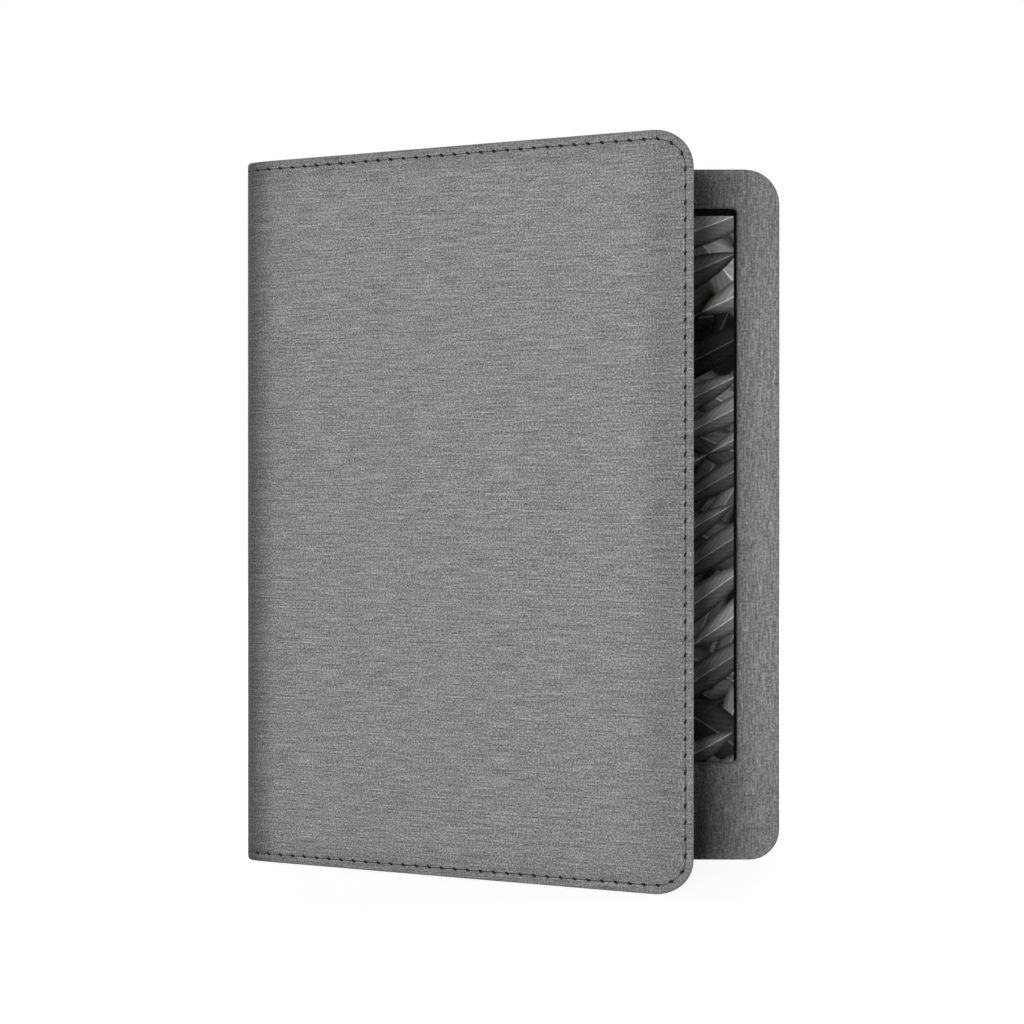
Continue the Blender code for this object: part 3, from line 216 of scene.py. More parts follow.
class Strip:
    """A cover's outer face in plan, from the middle of the spine round a fold to the free edge."""

    STEP = 0.00005
    SPARE = 0.02

    def __init__(self, fold, way, final, width, height, corners, tail_turn, shade):
        self.width, self.height, self.shade = width, height, shade
        self.foot_corner, self.top_corner = corners
        self.side = 1 if way.cross(final).z < 0 else -1
        start, heading = Vector(SPINE_MIDDLE), atan2(way.y, way.x)
        turn = way.xy.angle_signed(final.xy) * -1
        sign = 1 if turn > 0 else -1
        core = abs(turn) - tail_turn
        self.bend = core * FOLD_RADIUS + FOLD_TAIL  # its length, and lead is the flat length before it

        def turned(s):
            """The angle turned at a distance s into the bend."""
            t = np.clip((s - core * FOLD_RADIUS) / FOLD_TAIL, 0, 1)
            return np.clip(s / FOLD_RADIUS, 0, core) + tail_turn * (1 - (1 - t) ** 2)

        out = Vector((-final.y, final.x, 0)) * self.side
        s = np.arange(0, self.bend + self.STEP, self.STEP)
        angle = heading + sign * turned(s)
        across = sum(np.cos(angle)) * self.STEP * out.x + sum(np.sin(angle)) * self.STEP * out.y
        gap = (fold - start).dot(out) + COVER / 2 - across
        self.lead = gap / way.dot(out)
        length = self.lead + self.bend + width + self.SPARE
        self.s = s = np.arange(0, length, self.STEP)
        self.angle = heading + sign * turned(np.clip(s - self.lead, 0, None))
        self.x = start.x + np.concatenate(([0], np.cumsum(np.cos(self.angle))[:-1])) * self.STEP
        self.y = start.y + np.concatenate(([0], np.cumsum(np.sin(self.angle))[:-1])) * self.STEP
        along = (self.x - fold.x) * final.x + (self.y - fold.y) * final.y
        past = len(s) // 3
        self.end = float(np.interp(width, along[past:], s[past:]))
        self.fold = self.lead + core * FOLD_RADIUS / 2

    def at(self, distance):
        """The u at a distance along the cover from its fold."""
        return self.end - self.width + distance

    def corner(self, v):
        """The free corners' length along the cover at a height, eased from the foot's to the top's."""
        low, high = self.foot_corner[1], self.height - self.top_corner[1]
        share = min(max((v - low) / (high - low), 0.0), 1.0)
        return self.foot_corner[0] + (self.top_corner[0] - self.foot_corner[0]) * share

    def place(self, points):
        """World points from an array of (u, v, w)."""
        u, v, w = np.asarray(points, float).T
        x, y = np.interp(u, self.s, self.x), np.interp(u, self.s, self.y)
        angle = np.interp(u, self.s, self.angle)
        out_x, out_y = -np.sin(angle) * self.side, np.cos(angle) * self.side
        flatness = smooth(self.fold - FOLD_DROP_FROM, self.fold + FOLD_DROP_TO, u)
        foot = FOOT_RAISED_AT_FOLD * (1 - flatness)
        top = TOP_AT_FOLD + (self.height - TOP_AT_FOLD) * flatness
        z = foot + v / self.height * (top - foot)
        return np.stack([x - out_x * w, y - out_y * w, z], 1)


# shade scales the painted fold shade: full on the front cover, half on the back
FRONT = Strip(
    FRONT_FOLD, SPINE_WAY, COVER_WAY, COVER_WIDTH, COVER_HEIGHT, COVER_CORNERS, COVER_TAIL_TURN, shade=1.0
)
BACK = Strip(
    REAR_FOLD, -SPINE_WAY, Vector((1, 0, 0)), CASE_WIDTH, CASE_HEIGHT, CASE_CORNERS, CASE_TAIL_TURN, shade=0.5
)


# Meshes ------------------------------------------------------------------------------------------
def make_object(name, points, faces, vectors=None, values=None, sharp=radians(38)):
    """An object from world points and faces, with named point attributes."""
    mesh = bpy.data.meshes.new(name)
    mesh.from_pydata([tuple(p) for p in points], [], faces)
    for key, data in (vectors or {}).items():
        layer = mesh.attributes.new(key, "FLOAT_VECTOR", "POINT")
        layer.data.foreach_set("vector", np.asarray(data, np.float32).ravel())
    for key, data in (values or {}).items():
        layer = mesh.attributes.new(key, "FLOAT", "POINT")
        layer.data.foreach_set("value", np.asarray(data, np.float32).ravel())
    obj = bpy.data.objects.new(name, mesh)
    bpy.context.scene.collection.objects.link(obj)
    soften(mesh, sharp)
    return obj


def soften(mesh, sharp):
    """Smooth shading, except at edges sharper than this angle."""
    bm = bmesh.new()
    bm.from_mesh(mesh)
    for face in bm.faces:
        face.smooth = True
    for edge in bm.edges:
        edge.smooth = edge.calc_face_angle(0.0) < sharp
    bm.to_mesh(mesh)
    bm.free()


def thicken(obj, thickness):
    """Gives a sheet its thickness, away from the side that shows."""
    modifier = obj.modifiers.new("thickness", "SOLIDIFY")
    modifier.thickness = thickness
    modifier.offset = -1
    modifier.use_even_offset = True
    dg = bpy.context.evaluated_depsgraph_get()
    mesh = bpy.data.meshes.new_from_object(obj.evaluated_get(dg))
    obj.modifiers.clear()
    old = obj.data
    obj.data = mesh
    mesh.name = obj.name
    bpy.data.meshes.remove(old)
    soften(mesh, radians(50))
    return obj


class Sheet:
    """A cover's sheet: a grid inside its rounded outline, and rings from there outward and round the edge."""

    def __init__(self, strip, depth, marks=()):
        self.strip = strip
        self.points, self.pattern, self.faces = [], [], []
        height, end, inset = strip.height, strip.end, GRID_INSET
        foot, top = strip.foot_corner[1], height - strip.top_corner[1]
        arcs = quarter(ARC_STEPS)
        last = end - max(strip.foot_corner[0], strip.top_corner[0])
        near = strip.fold + BEND_REACH + TAIL_STEP
        tail = strip.lead + strip.bend

        def spaced(low, high, step):
            return list(np.linspace(low, high, ceil((high - low) / step) + 1))

        stations = spaced(0, near, FOLD_STEP) + spaced(near, tail, TAIL_STEP)[1:]
        stations += spaced(tail, last, GRID_STEP)[1:]
        stations = sorted(stations + [m for m in marks if 0 < m < last])
        levels = spaced(foot, top, GRID_STEP)
        n, k = len(stations) - 1, ARC_STEPS
        rows = [foot - (foot - inset) * sin(a) for a in arcs[:0:-1]] + levels
        rows += [top + (strip.top_corner[1] - inset) * sin(a) for a in arcs[1:]]
        m = len(rows) - 1

        def column(i, v):
            if i < n:
                return stations[i]
            length = strip.corner(v)
            return end - length + (length - inset) * sin(arcs[i - n])

        index = {}
        for i in range(n + k + 1):
            reach = max(0, i - n)
            for j in range(reach, m - reach + 1):
                u = column(i, rows[j])
                index[i, j] = self.point(u, rows[j], depth, u, rows[j])
        for i in range(n + k):
            for j in range(m):
                corners = [index.get(c) for c in ((i, j), (i + 1, j), (i + 1, j + 1), (i, j + 1))]
                self.face([c for c in corners if c is not None])
        self.outline, self.edge = [], []

        def rim(u, v, nu, nv, i, j):
            self.outline.append((u, v, nu, nv))
            self.edge.append(index[i, j])

        for i in range(n):
            rim(stations[i], height, 0.0, 1.0, i, m)
        length, rise = strip.top_corner
        for q in range(k + 1):
            a = arcs[q]
            rim(end - length * (1 - sin(a)), top + rise * cos(a), sin(a), cos(a), n + q, m - q)
        for j in range(len(levels) - 2, 0, -1):
            rim(end, levels[j], 1.0, 0.0, n + k, k + j)
        length, rise = strip.foot_corner
        for q in range(k, -1, -1):
            a = arcs[q]
            rim(end - length * (1 - sin(a)), foot - rise * cos(a), sin(a), -cos(a), n + q, q)
        for i in range(n - 1, -1, -1):
            rim(stations[i], 0.0, 0.0, -1.0, i, 0)

    def point(self, u, v, w, pattern_u, pattern_v):
        self.points.append((u, v, w))
        self.pattern.append((pattern_u * self.strip.side * -1, pattern_v, 0.0))
        return len(self.points) - 1

    def face(self, corners):
        if len(corners) > 2:
            self.faces.append(corners if self.strip.side < 0 else corners[::-1])

    def ring(self, previous, inset, depth, spread, keep=None, free_inset=None):
        """A ring of points at an inset from the outline and a depth, joined to the previous ring, if any."""
        ring = {}
        free_inset = inset if free_inset is None else free_inset
        for b, (u, v, nu, nv) in enumerate(self.outline):
            if (previous and previous[b] is None) or (keep and not keep[b]):
                continue
            d = inset * nv * nv + free_inset * nu * nu
            w = depth[b] if hasattr(depth, "__len__") else depth
            s = spread[b] if hasattr(spread, "__len__") else spread
            ring[b] = self.point(u - nu * d, v - nv * d, w, u + nu * s, v + nv * s)
        out = [ring.get(b) for b in range(len(self.outline))]
        for b in range(len(out) - 1):
            if previous and out[b] is not None and out[b + 1] is not None:
                self.face([previous[b], previous[b + 1], out[b + 1], out[b]])
        return out

    def emptied(self):
        """A sheet with the same outline and no points yet."""
        other = copy(self)
        other.points, other.pattern, other.faces = [], [], []
        return other

    def groove(self, previous, floor, way):
        """The groove that the seam lies in, sunk one way or the other from a face."""
        for offset, depth in reversed(GROOVE):
            top, free = SEAM_INSET + offset, SEAM_INSET_FREE_EDGE + offset
            previous = self.ring(previous, top, floor + way * depth, -top, free_inset=free)
        return previous

    def rounding(self):
        """The outer side of the cloth's edge: the groove, and a quarter round outward."""
        ring = self.groove(self.edge, 0.0, 1)
        for inset, depth, arc in rounded(5, EDGE_ROUND)[1:]:
            ring = self.ring(ring, inset, depth, arc - EDGE_ROUND)
        return ring

    def turn_in(self, ring, keep=None):
        """The inner side of the cloth's edge: a quarter round inward, and the part under the lining."""
        for inset, depth, arc in rounded(5, EDGE_ROUND)[-2::-1]:
            ring = self.ring(ring, inset, INNER_FACE - depth, EDGE_ROUND * (2 * ARC - 1) - arc, keep)
        self.ring(ring, TURN_IN, INNER_FACE, TURN_IN + EDGE_ROUND * (2 * ARC - 3), keep)

    def build(self, name, facing=1):
        faces = self.faces if facing > 0 else [f[::-1] for f in self.faces]
        return make_object(
            name, self.strip.place(self.points), faces, {"pattern": self.pattern}, {"shade": self.shade()}
        )

    def shade(self):
        """Tone at each point, all painted shade: the cloth is darker where it is folded, and where its edges
        are turned in.
        """
        strip = self.strip
        u, v, w = np.array(self.points).T
        distance = np.where(u < strip.fold, (strip.fold - u) * SPINE_SHADE_PACE, u - strip.fold)
        start, stop, depth = FOLD_SHADE
        fold = depth * np.clip((stop - distance) / (stop - start), 0, 1)
        start, stop, depth = FOLD_SHADE_TAIL
        fold += depth * (1 - smooth(start, stop, distance))
        start, stop, depth = EDGE_SHADE
        edge = depth * (1 - smooth(start, stop, np.minimum(v, strip.height - v)))
        start, stop, depth = FREE_EDGE_SHADE
        free = depth * (1 - smooth(start, stop, strip.end - u))
        return (1 - fold * strip.shade) * (1 - np.maximum(edge, free))


def bend(obj, strip):
    """Bakes a piece's placement into its mesh, the same for either strip, with no blend across the fold."""
    if strip is FRONT:
        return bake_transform(obj)
    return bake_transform(obj)


def rounded(steps, radius):
    """(inset, depth, arc length) round an edge, from its face outward."""
    return [(radius * (1 - sin(a)), radius * (1 - cos(a)), radius * a) for a in quarter(steps)]


def front_cloth():
    """The front cover's cloth and the front half of the spine's."""
    sheet = Sheet(FRONT, 0.0)
    sheet.turn_in(sheet.rounding())
    piece = thicken(sheet.build("front_cloth"), CLOTH)
    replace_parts(bend(piece, FRONT), "front_cover_skin", "spine_skin", "spine_stiffener")
    return piece


def lining(name, strip, *replaced):
    """The dark sheet inside a cover, glued over the cloth's turned-in edge."""
    sheet = Sheet(strip, COVER)
    ring = sheet.groove(sheet.edge, COVER, -1)
    for inset, depth, arc in rounded(3, LINING_ROUND)[1:]:
        inset -= LINING_ROUND
        top, free = LINING_INSET + inset, LINING_INSET_FREE_EDGE + inset
        ring = sheet.ring(ring, top, COVER - depth, arc - LINING_INSET, free_inset=free)
    piece = thicken(sheet.build(name, -1), LINING)
    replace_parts(bend(piece, strip), *replaced)
    return piece


def back_cloth():
    """The rear cover and the rear half of the spine, and the pocket's side walls with the notch below."""
    pocket = BACK.at(POCKET_START)
    notch_low, notch_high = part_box("pocket_spacer_foot")[1].x, notch_end()
    notch = [BACK.at(x - REAR_FOLD.x) for x in (notch_low, notch_high)]
    marks = [pocket - PAIR, pocket]
    for edge, way in ((notch[0], -1), (notch[1], 1)):
        marks += [edge + way * NOTCH_ROUND * (1 - sin(a)) for a in quarter(4)]
    sheet = Sheet(BACK, 0.0, marks)
    ring = sheet.rounding()
    flap = [u < pocket - PAIR / 2 for u, v, nu, nv in sheet.outline]
    walls = [u > pocket - PAIR / 2 for u, v, nu, nv in sheet.outline]
    sheet.turn_in(ring, flap)

    def wall(u, nv):
        """The depth of the pocket's wall, which is cut away over the sockets in the lower one."""
        if nv > -0.5 or not notch[0] - NOTCH_ROUND < u < notch[1] + NOTCH_ROUND:
            return WALL_DEPTH
        side = max(notch[0] - u, u - notch[1])
        if side <= 0:
            return COVER
        return WALL_DEPTH - NOTCH_ROUND + (NOTCH_ROUND**2 - (NOTCH_ROUND - side) ** 2) ** 0.5

    depths = [wall(u, nv) for u, v, nu, nv in sheet.outline]
    seam = EDGE_ROUND + WALL_SEAM
    sheet.ring(ring, 0.0, seam, seam + EDGE_ROUND * (ARC - 1), walls)
    piece = thicken(sheet.build("back_cloth"), CLOTH)
    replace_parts(bend(piece, BACK), "back_cover_skin")
    sides, ring = sheet.emptied(), None
    for share in (0.0, 0.25, 0.5, 0.75, 1.0):
        w = [seam + (d - seam) * share for d in depths]
        ring = sides.ring(ring, 0.0, w, [x + EDGE_ROUND * (ARC - 1) for x in w], walls)
    side_walls = thicken(sides.build("pocket_walls"), CLOTH)
    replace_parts(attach(side_walls, "case"), "back_cover_skin")
    return piece, side_walls


def notch_end():
    """Where the spacer's lower wall begins again, right of the notch."""
    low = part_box("pocket_spacer")[0].z
    vertices = frame["nodes"]["pocket_spacer"].data.vertices
    return min(v.co.x for v in vertices if v.co.z < low + ON_FACE)


def loop(low_x, high_x, low_z, high_z, radii, steps, sides):
    """Points and normals round a rounded rectangle. radii run clockwise from the upper right."""
    centres = [
        (high_x - radii[0], high_z - radii[0]), (high_x - radii[1], low_z + radii[1]),
        (low_x + radii[2], low_z + radii[2]), (low_x + radii[3], high_z - radii[3]),
    ]
    points = []
    for k in range(4):
        (x, z), radius = centres[k], radii[k]
        (next_x, next_z), next_radius = centres[(k + 1) % 4], radii[(k + 1) % 4]
        for q in range(steps + 1):
            a = radians(90 * (k + q / steps))
            points.append((x, z, sin(a), cos(a), radius))
        for q in range(1, sides):
            t = q / sides
            side = (x + (next_x - x) * t, z + (next_z - z) * t, sin(a), cos(a))
            points.append((*side, radius + (next_radius - radius) * t))
    return points


def ring_object(name, rings, caps=False):
    """A piece made of rings round the screen. Each ring is (loop, grow, y, pattern grow)."""
    points, pattern, faces = [], [], []
    for source, grow, y, spread in rings:
        first = len(points)
        for x, z, nx, nz, radius in source:
            points.append((x + nx * (radius + grow), y, z + nz * (radius + grow)))
            pattern.append((x + nx * (radius + spread), z + nz * (radius + spread), 0.0))
        n = len(source)
        if first:
            a, b = first - n, first
            faces.extend([a + k, b + k, b + (k + 1) % n, a + (k + 1) % n] for k in range(n))
    if caps:
        faces += [list(range(n)), list(range(len(points) - n, len(points)))[::-1]]
    # Painted shade: the frame's cloth is darker towards its top and bottom ends
    start, stop, depth = FRAME_END_SHADE
    z = np.array(points)[:, 2]
    shade = 1 - depth * (1 - smooth(start, stop, np.minimum(z, CASE_HEIGHT - z)))
    return make_object(name, points, faces, {"pattern": pattern}, {"shade": shade})


def window_frame_cloth():
    """The cloth round the window, turned in at both of its edges."""
    low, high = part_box("window_frame_skin")
    (_, foot), (_, top) = CASE_CORNERS
    outer = loop(low.x, high.x, low.z, high.z, (top, foot, FRAME_INNER_CORNER, FRAME_INNER_CORNER), 8, 24)
    inner = loop(*window_opening(), (WINDOW_CORNER,) * 4, 8, 24)
    back, e = high.y - CLEAR_GAP, FRAME_EDGE_ROUND
    rings = [(outer, 0.0, back, high.y - low.y - 0.4 * e)]
    rings += [(outer, -inset, low.y + depth, arc - e) for inset, depth, arc in rounded(5, e)[::-1]]
    rings += [
        (inner, inset, low.y + depth, WINDOW_EDGE_ROUND - arc)
        for inset, depth, arc in rounded(6, WINDOW_EDGE_ROUND)
    ]
    rings.append((inner, 0.0, back, WINDOW_EDGE_ROUND * (2 - ARC) - (high.y - low.y)))
    piece = thicken(ring_object("window_frame_cloth", rings), CLOTH)
    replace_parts(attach(piece, "case"), "window_frame_skin")
    return piece


def screen_glass():
    """The lens, touch sensor and light guide, bonded into one clear stack through the film's opening."""
    low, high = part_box("cover_lens")
    guide_low, guide_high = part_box("light_guide")
    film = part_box("border_film")[1].y
    outer = loop(low.x, high.x, low.z, high.z, (LENS_CORNER,) * 4, 8, 12)
    opening = loop(*picture_opening(), (PICTURE_CORNER,) * 4, 8, 12)
    guide = loop(guide_low.x, guide_high.x, guide_low.z, guide_high.z, (PICTURE_CORNER,) * 4, 8, 12)
    c = LENS_CHAMFER
    rings = [
        (outer, -c, low.y, 0), (outer, 0, low.y + c, 0), (outer, 0, high.y - c, 0), (outer, -c, high.y, 0),
        (opening, -CLEAR_GAP, high.y, 0), (opening, -CLEAR_GAP, film + CLEAR_GAP / 2, 0),
        (guide, 0, film + CLEAR_GAP / 2, 0), (guide, 0, guide_high.y, 0),
    ]
    piece = ring_object("screen_glass", rings, caps=True)
    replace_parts(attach(piece, "case"), "cover_lens", "touch_sensor", "light_guide")
    return piece


def border_print():
    """The black film round the picture, which reaches down to the window's lower edge."""
    low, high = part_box("border_film")
    outer = loop(low.x, high.x, low.z, high.z, (LENS_CORNER,) * 4, 8, 12)
    opening = loop(*picture_opening(), (PICTURE_CORNER,) * 4, 8, 12)
    rings = [(outer, 0.0, low.y, 0.0), (opening, 0.0, low.y, 0.0)]
    piece = thicken(ring_object("border_print", rings), high.y - low.y)
    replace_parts(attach(piece, "case"), "border_film")
    return piece


def inner_edge(node, low, high):
    """The inner edge of a frame-shaped node, at the front of its box: low x, high x, low z, high z."""
    margin = Vector((FRAME_MARGIN,) * 3)
    lowest, highest = low + margin, high - margin
    inside = [
        v.co for v in frame["nodes"][node].data.vertices
        if lowest.x < v.co.x < highest.x and lowest.z < v.co.z < highest.z and v.co.y < low.y + ON_FACE
    ]
    xs, zs = [c.x for c in inside], [c.z for c in inside]
    return min(xs), max(xs), min(zs), max(zs)


def window_opening():
    return inner_edge("window_frame_skin", *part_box("window_frame_skin"))


def picture_opening():
    """The border film's opening, which shows the picture right down to the window's lower edge."""
    low_x, high_x, low_z, high_z = inner_edge("border_film", *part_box("border_film"))
    return low_x, high_x, min(low_z, window_opening()[2] - PICTURE_UNDER_WINDOW_EDGE), high_z


def front_board():
    """The front cover's board, with its outer corners eased as the cloth over them is."""
    node = frame["nodes"]["front_cover_board"]
    piece = bpy.data.objects.new("front_board", node.data.copy())
    bpy.context.scene.collection.objects.link(piece)
    inset = COVER_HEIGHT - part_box("front_cover_board")[1].z
    end, r = COVER_WIDTH - inset, BOARD_CORNER
    for v in piece.data.vertices:
        along = (v.co - FRONT_FOLD).dot(COVER_WAY) - (end - r)
        for edge, way, (length, rise) in (
            (inset, -1, COVER_CORNERS[0]), (COVER_HEIGHT - inset, 1, COVER_CORNERS[1]),
        ):
            up = way * (v.co.z - edge) + r
            if along > -TINY and up > -TINY:
                v.co += COVER_WAY * ((along / r - 1) * (length - inset) - (along - r))
                v.co.z = edge + way * (up / r - 1) * (rise - inset)
                break
    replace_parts(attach(piece, "front_cover"), "front_cover_board")
    return piece


# Stitches ----------------------------------------------------------------------------------------
def seam_path(strip):
    """Points (u, v) of the seam from the spine's top round to its foot, close together."""
    end, height = strip.end, strip.height

    def half(length, rise):
        """The way from the spine along one edge and round its corner, with v counted from that edge."""
        path = [(u, SEAM_INSET) for u in np.arange(0, end - length, SEAM_STEP)]
        for a in quarter(30):
            d = SEAM_INSET * cos(a) ** 2 + SEAM_INSET_FREE_EDGE * sin(a) ** 2
            path.append((end - length + (length - d) * sin(a), rise - (rise - d) * cos(a)))
        levels = np.arange(rise + SEAM_STEP, height / 2, SEAM_STEP)
        return path + [(end - SEAM_INSET_FREE_EDGE, v) for v in levels]

    upper = [(u, height - v) for u, v in half(*strip.top_corner)]
    return np.array(upper + half(*strip.foot_corner)[::-1])


def stitches(name, strip, sides, *replaced):
    """Slanted stitches joined by thread, sunk in the seam's groove. sides are (depth, way, reach)."""
    path = seam_path(strip)
    steps = np.hypot(*np.diff(path, axis=0).T)
    length = np.concatenate(([0], np.cumsum(steps)))
    count = int(round(length[-1] / STITCH_PITCH))
    pitch = length[-1] / count
    points, faces, along, knots = [], [], [], []

    def spot(s):
        return np.array([np.interp(s, length, path[:, 0]), np.interp(s, length, path[:, 1])])

    def tangent(s):
        d = spot(s + SEAM_STEP * 0.4) - spot(s - SEAM_STEP * 0.4)
        return d / hypot(*d)

    def tube(centres, ways, halves, side, knot, sections=8):
        first = len(points)
        for (centre, depth), way, (across, high) in zip(centres, ways, halves):
            normal = np.array([-way[1], way[0]])
            for k in range(sections):
                a = 2 * pi * k / sections
                p = centre + normal * across * cos(a)
                points.append((p[0], p[1], depth - side * high * sin(a)))
                along.append((first * 0.01 + len(points) * 0.0001, a, 0.0))
                knots.append(knot)
        for r in range(len(centres) - 1):
            for k in range(sections):
                a, b = first + r * sections + k, first + r * sections + (k + 1) % sections
                faces.append([a, b, b + sections, a + sections])
        faces.append([first + k for k in range(sections)][::-1])
        last = first + (len(centres) - 1) * sections
        faces.append([last + k for k in range(sections)])

    for face, side, reach in sides:
        turn = side * strip.side * STITCH_SLANT
        for k in range(count):
            s = (k + 0.5) * pitch
            if spot(s)[0] > reach:
                continue
            t = tangent(s)
            way = np.array([t[0] * cos(turn) - t[1] * sin(turn), t[0] * sin(turn) + t[1] * cos(turn)])
            sunk = face + side * STITCH_SINK
            centres = [(spot(s) + way * q * STITCH_LENGTH / 2, sunk) for q, r in STITCH_PROFILE]
            halves = [(r * STITCH_WIDTH / 2, r * STITCH_HEIGHT / 2) for q, r in STITCH_PROFILE]
            tube(centres, [way] * len(centres), halves, side, 1.0)
            if k + 1 < count and spot(s + pitch)[0] <= reach:
                centres = [(spot(s + q * pitch), face + side * d) for q, d in THREAD_PATH]
                ways = [tangent(s + q * pitch) for q, d in THREAD_PATH]
                tube(centres, ways, [(THREAD / 2, THREAD / 2)] * len(centres), side, 0.0, 6)
    obj = make_object(name, strip.place(points), faces, {"pattern": along}, {"knot": knots}, radians(80))
    bm = bmesh.new()
    bm.from_mesh(obj.data)
    bmesh.ops.recalc_face_normals(bm, faces=bm.faces)
    bm.to_mesh(obj.data)
    bm.free()
    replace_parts(bend(obj, strip), *replaced)
    return obj


# Materials ---------------------------------------------------------------------------------------
class Nodes:
    """A material's or world's node tree, written as expressions."""

    def __init__(self, name, kind="materials"):
        self.owner = getattr(bpy.data, kind).new(name)
        self.owner.use_nodes = True
        self.tree = self.owner.node_tree
        self.tree.nodes.clear()

    def add(self, kind, inputs=None, **settings):
        node = self.tree.nodes.new("ShaderNode" + kind)
        for key, value in settings.items():
            setattr(node, key, value)
        for key, value in (inputs or {}).items():
            if isinstance(value, bpy.types.NodeSocket):
                self.tree.links.new(value, node.inputs[key])
            else:
                node.inputs[key].default_value = value
        return node

    def math(self, operation, *values, clamp=False):
        node = self.add("Math", dict(enumerate(values)), operation=operation, use_clamp=clamp)
        return node.outputs[0]

    def times(self, a, b):
        return self.math("MULTIPLY", a, b)

    def plus(self, *values):
        total = values[0]
        for value in values[1:]:
            total = self.math("ADD", total, value)
        return total

    def stretched(self, vector, scale, offset=(0, 0, 0)):
        node = self.add("Mapping", {"Vector": vector, "Scale": scale, "Location": offset})
        return node.outputs[0]

    def noise(self, vector, size, detail=0.0, roughness=0.5):
        """Noise centred on zero. size is one feature's size in metres, or one per axis."""
        sizes = size if hasattr(size, "__len__") else (size, size, size)
        vector = self.stretched(vector, tuple(1 / s for s in sizes))
        node = self.add(
            "TexNoise", {"Vector": vector, "Scale": 1.0, "Detail": detail, "Roughness": roughness},
            noise_dimensions="3D",
        )
        return self.math("SUBTRACT", node.outputs[0], 0.5)

    def spread(self, value, low, high, to_low=0.0, to_high=1.0):
        """A smooth step from to_low at low to to_high at high."""
        ends = {"From Min": low, "From Max": high, "To Min": to_low, "To Max": to_high}
        return self.add("MapRange", {"Value": value, **ends}, interpolation_type="SMOOTHSTEP").outputs[0]

    def tinted(self, colour, tone):
        """The colour times a tone."""
        node = self.add("VectorMath", {0: colour, "Scale": tone}, operation="SCALE")
        return node.outputs[0]

    def bump(self, height, distance, strength=1.0):
        return self.add("Bump", {"Height": height, "Distance": distance, "Strength": strength}).outputs[0]

    def attribute(self, name, output="Vector"):
        return self.add("Attribute", attribute_name=name).outputs[output]

    def place(self):
        return self.add("TexCoord").outputs["Object"]

    def principled(self, **inputs):
        node = self.add("BsdfPrincipled", {key.replace("_", " "): value for key, value in inputs.items()})
        return node.outputs[0]

    def finish(self, shader, output="OutputMaterial"):
        self.add(output, {"Surface": shader})
        return self.owner


def cloth_material(name, tone, along, across, grain_size, weights):
    """Melange cloth. along and across are the pattern's axes along and across the streaked yarn. weights
    are for its grain, fine grain, short, middling and long streaks, and the plainer yarn.
    """
    n = Nodes(name)
    pattern = n.attribute("pattern")

    def sized(lengthwise, crosswise):
        sizes = [1.0, 1.0, 1.0]
        sizes[along], sizes[across] = lengthwise, crosswise
        return tuple(sizes)

    def shifted(x, y):
        return n.stretched(pattern, (1, 1, 1), (x, y, 0))

    grain = n.noise(pattern, grain_size)
    fine = n.noise(shifted(0.3, 0.9), 0.00022)
    streak = n.noise(pattern, sized(0.0075, 0.00042))
    short = n.noise(shifted(0.6, 0.1), sized(0.0026, 0.00046))
    long_streak = n.noise(shifted(0.5, 0.2), sized(0.018, 0.00050))
    thread = n.noise(pattern, sized(0.00042, 0.0028))
    slub = n.spread(n.noise(shifted(0.7, 0.3), sized(0.0085, 0.00042)), 0.17, 0.26)
    mottle = n.noise(pattern, 0.0035, 1.0)
    cloudy = n.noise(pattern, 0.016, 2.0, 0.6)
    parts = zip((grain, fine, short, streak, long_streak, thread), weights)
    mix = n.plus(
        *(n.times(part, weight) for part, weight in parts), n.times(slub, 0.2), n.times(mottle, 0.11),
        n.times(cloudy, 0.04),
    )
    total = n.math("POWER", n.math("MAXIMUM", n.plus(1.0, n.times(mix, 1 / 3)), 0.3), 3.0)
    # The shade attribute is painted shade: darker at folds, near edges and at the frame's ends
    total = n.times(total, n.attribute("shade", "Fac"))
    waves = n.stretched(pattern, (pi / WEAVE_PITCH,) * 3)
    wave = n.add("VectorMath", {0: waves}, operation="SINE").outputs[0]
    crossing = n.add("SeparateXYZ", {0: wave}).outputs
    weave = n.math("ABSOLUTE", n.times(crossing[0], crossing[1]))
    height = n.plus(n.times(weave, 0.5), n.times(grain, 1.2), n.times(streak, 0.6), n.times(slub, 0.5))
    rough = n.math("ADD", 0.86, n.times(grain, 0.2))
    return n.finish(n.principled(
        Base_Color=n.tinted((tone, tone, tone), total), Roughness=rough, Specular_IOR_Level=0.2,
        Sheen_Weight=0.08, Sheen_Roughness=0.5, Normal=n.bump(height, 0.00006, 0.6),
    ))


def lining_material():
    """Dark microfibre with a brushed nap."""
    n = Nodes("microfibre_nap")
    pattern = n.place()
    nap = n.noise(pattern, 0.00022, 2.0, 0.7)
    brushed = n.noise(pattern, (0.004, 0.004, 0.0012), 2.0, 0.6)
    cloudy = n.noise(pattern, 0.018, 2.0, 0.6)
    tone = n.plus(1.0, n.times(nap, 0.9), n.times(brushed, 0.35), n.times(cloudy, 0.4))
    return n.finish(n.principled(
        Base_Color=n.tinted((0.07, 0.07, 0.075), tone), Roughness=n.math("ADD", 0.9, n.times(nap, 0.2)),
        Specular_IOR_Level=0.2, Sheen_Weight=0.35, Sheen_Roughness=0.4,
        Normal=n.bump(n.plus(nap, brushed), 0.00008, 0.6),
    ))


def thread_material():
    """Black thread. The stitches themselves, where knot is 1, are painted darkest, as painted shade for the
    holes they sink into.
    """
    n = Nodes("twisted_thread")
    knot = n.attribute("knot", "Fac")
    fibre = n.noise(n.place(), 0.00009, 2.0, 0.6)
    tone = n.times(n.math("ADD", 1.0, n.times(fibre, 0.8)), n.spread(knot, 0.0, 1.0, 1.0, 0.14))
    return n.finish(n.principled(
        Base_Color=n.tinted((0.035, 0.035, 0.035), tone), Roughness=n.math("ADD", 0.75, n.times(fibre, 0.3)),
        Specular_IOR_Level=0.25, Normal=n.bump(fibre, 0.00004, 0.5),
    ))


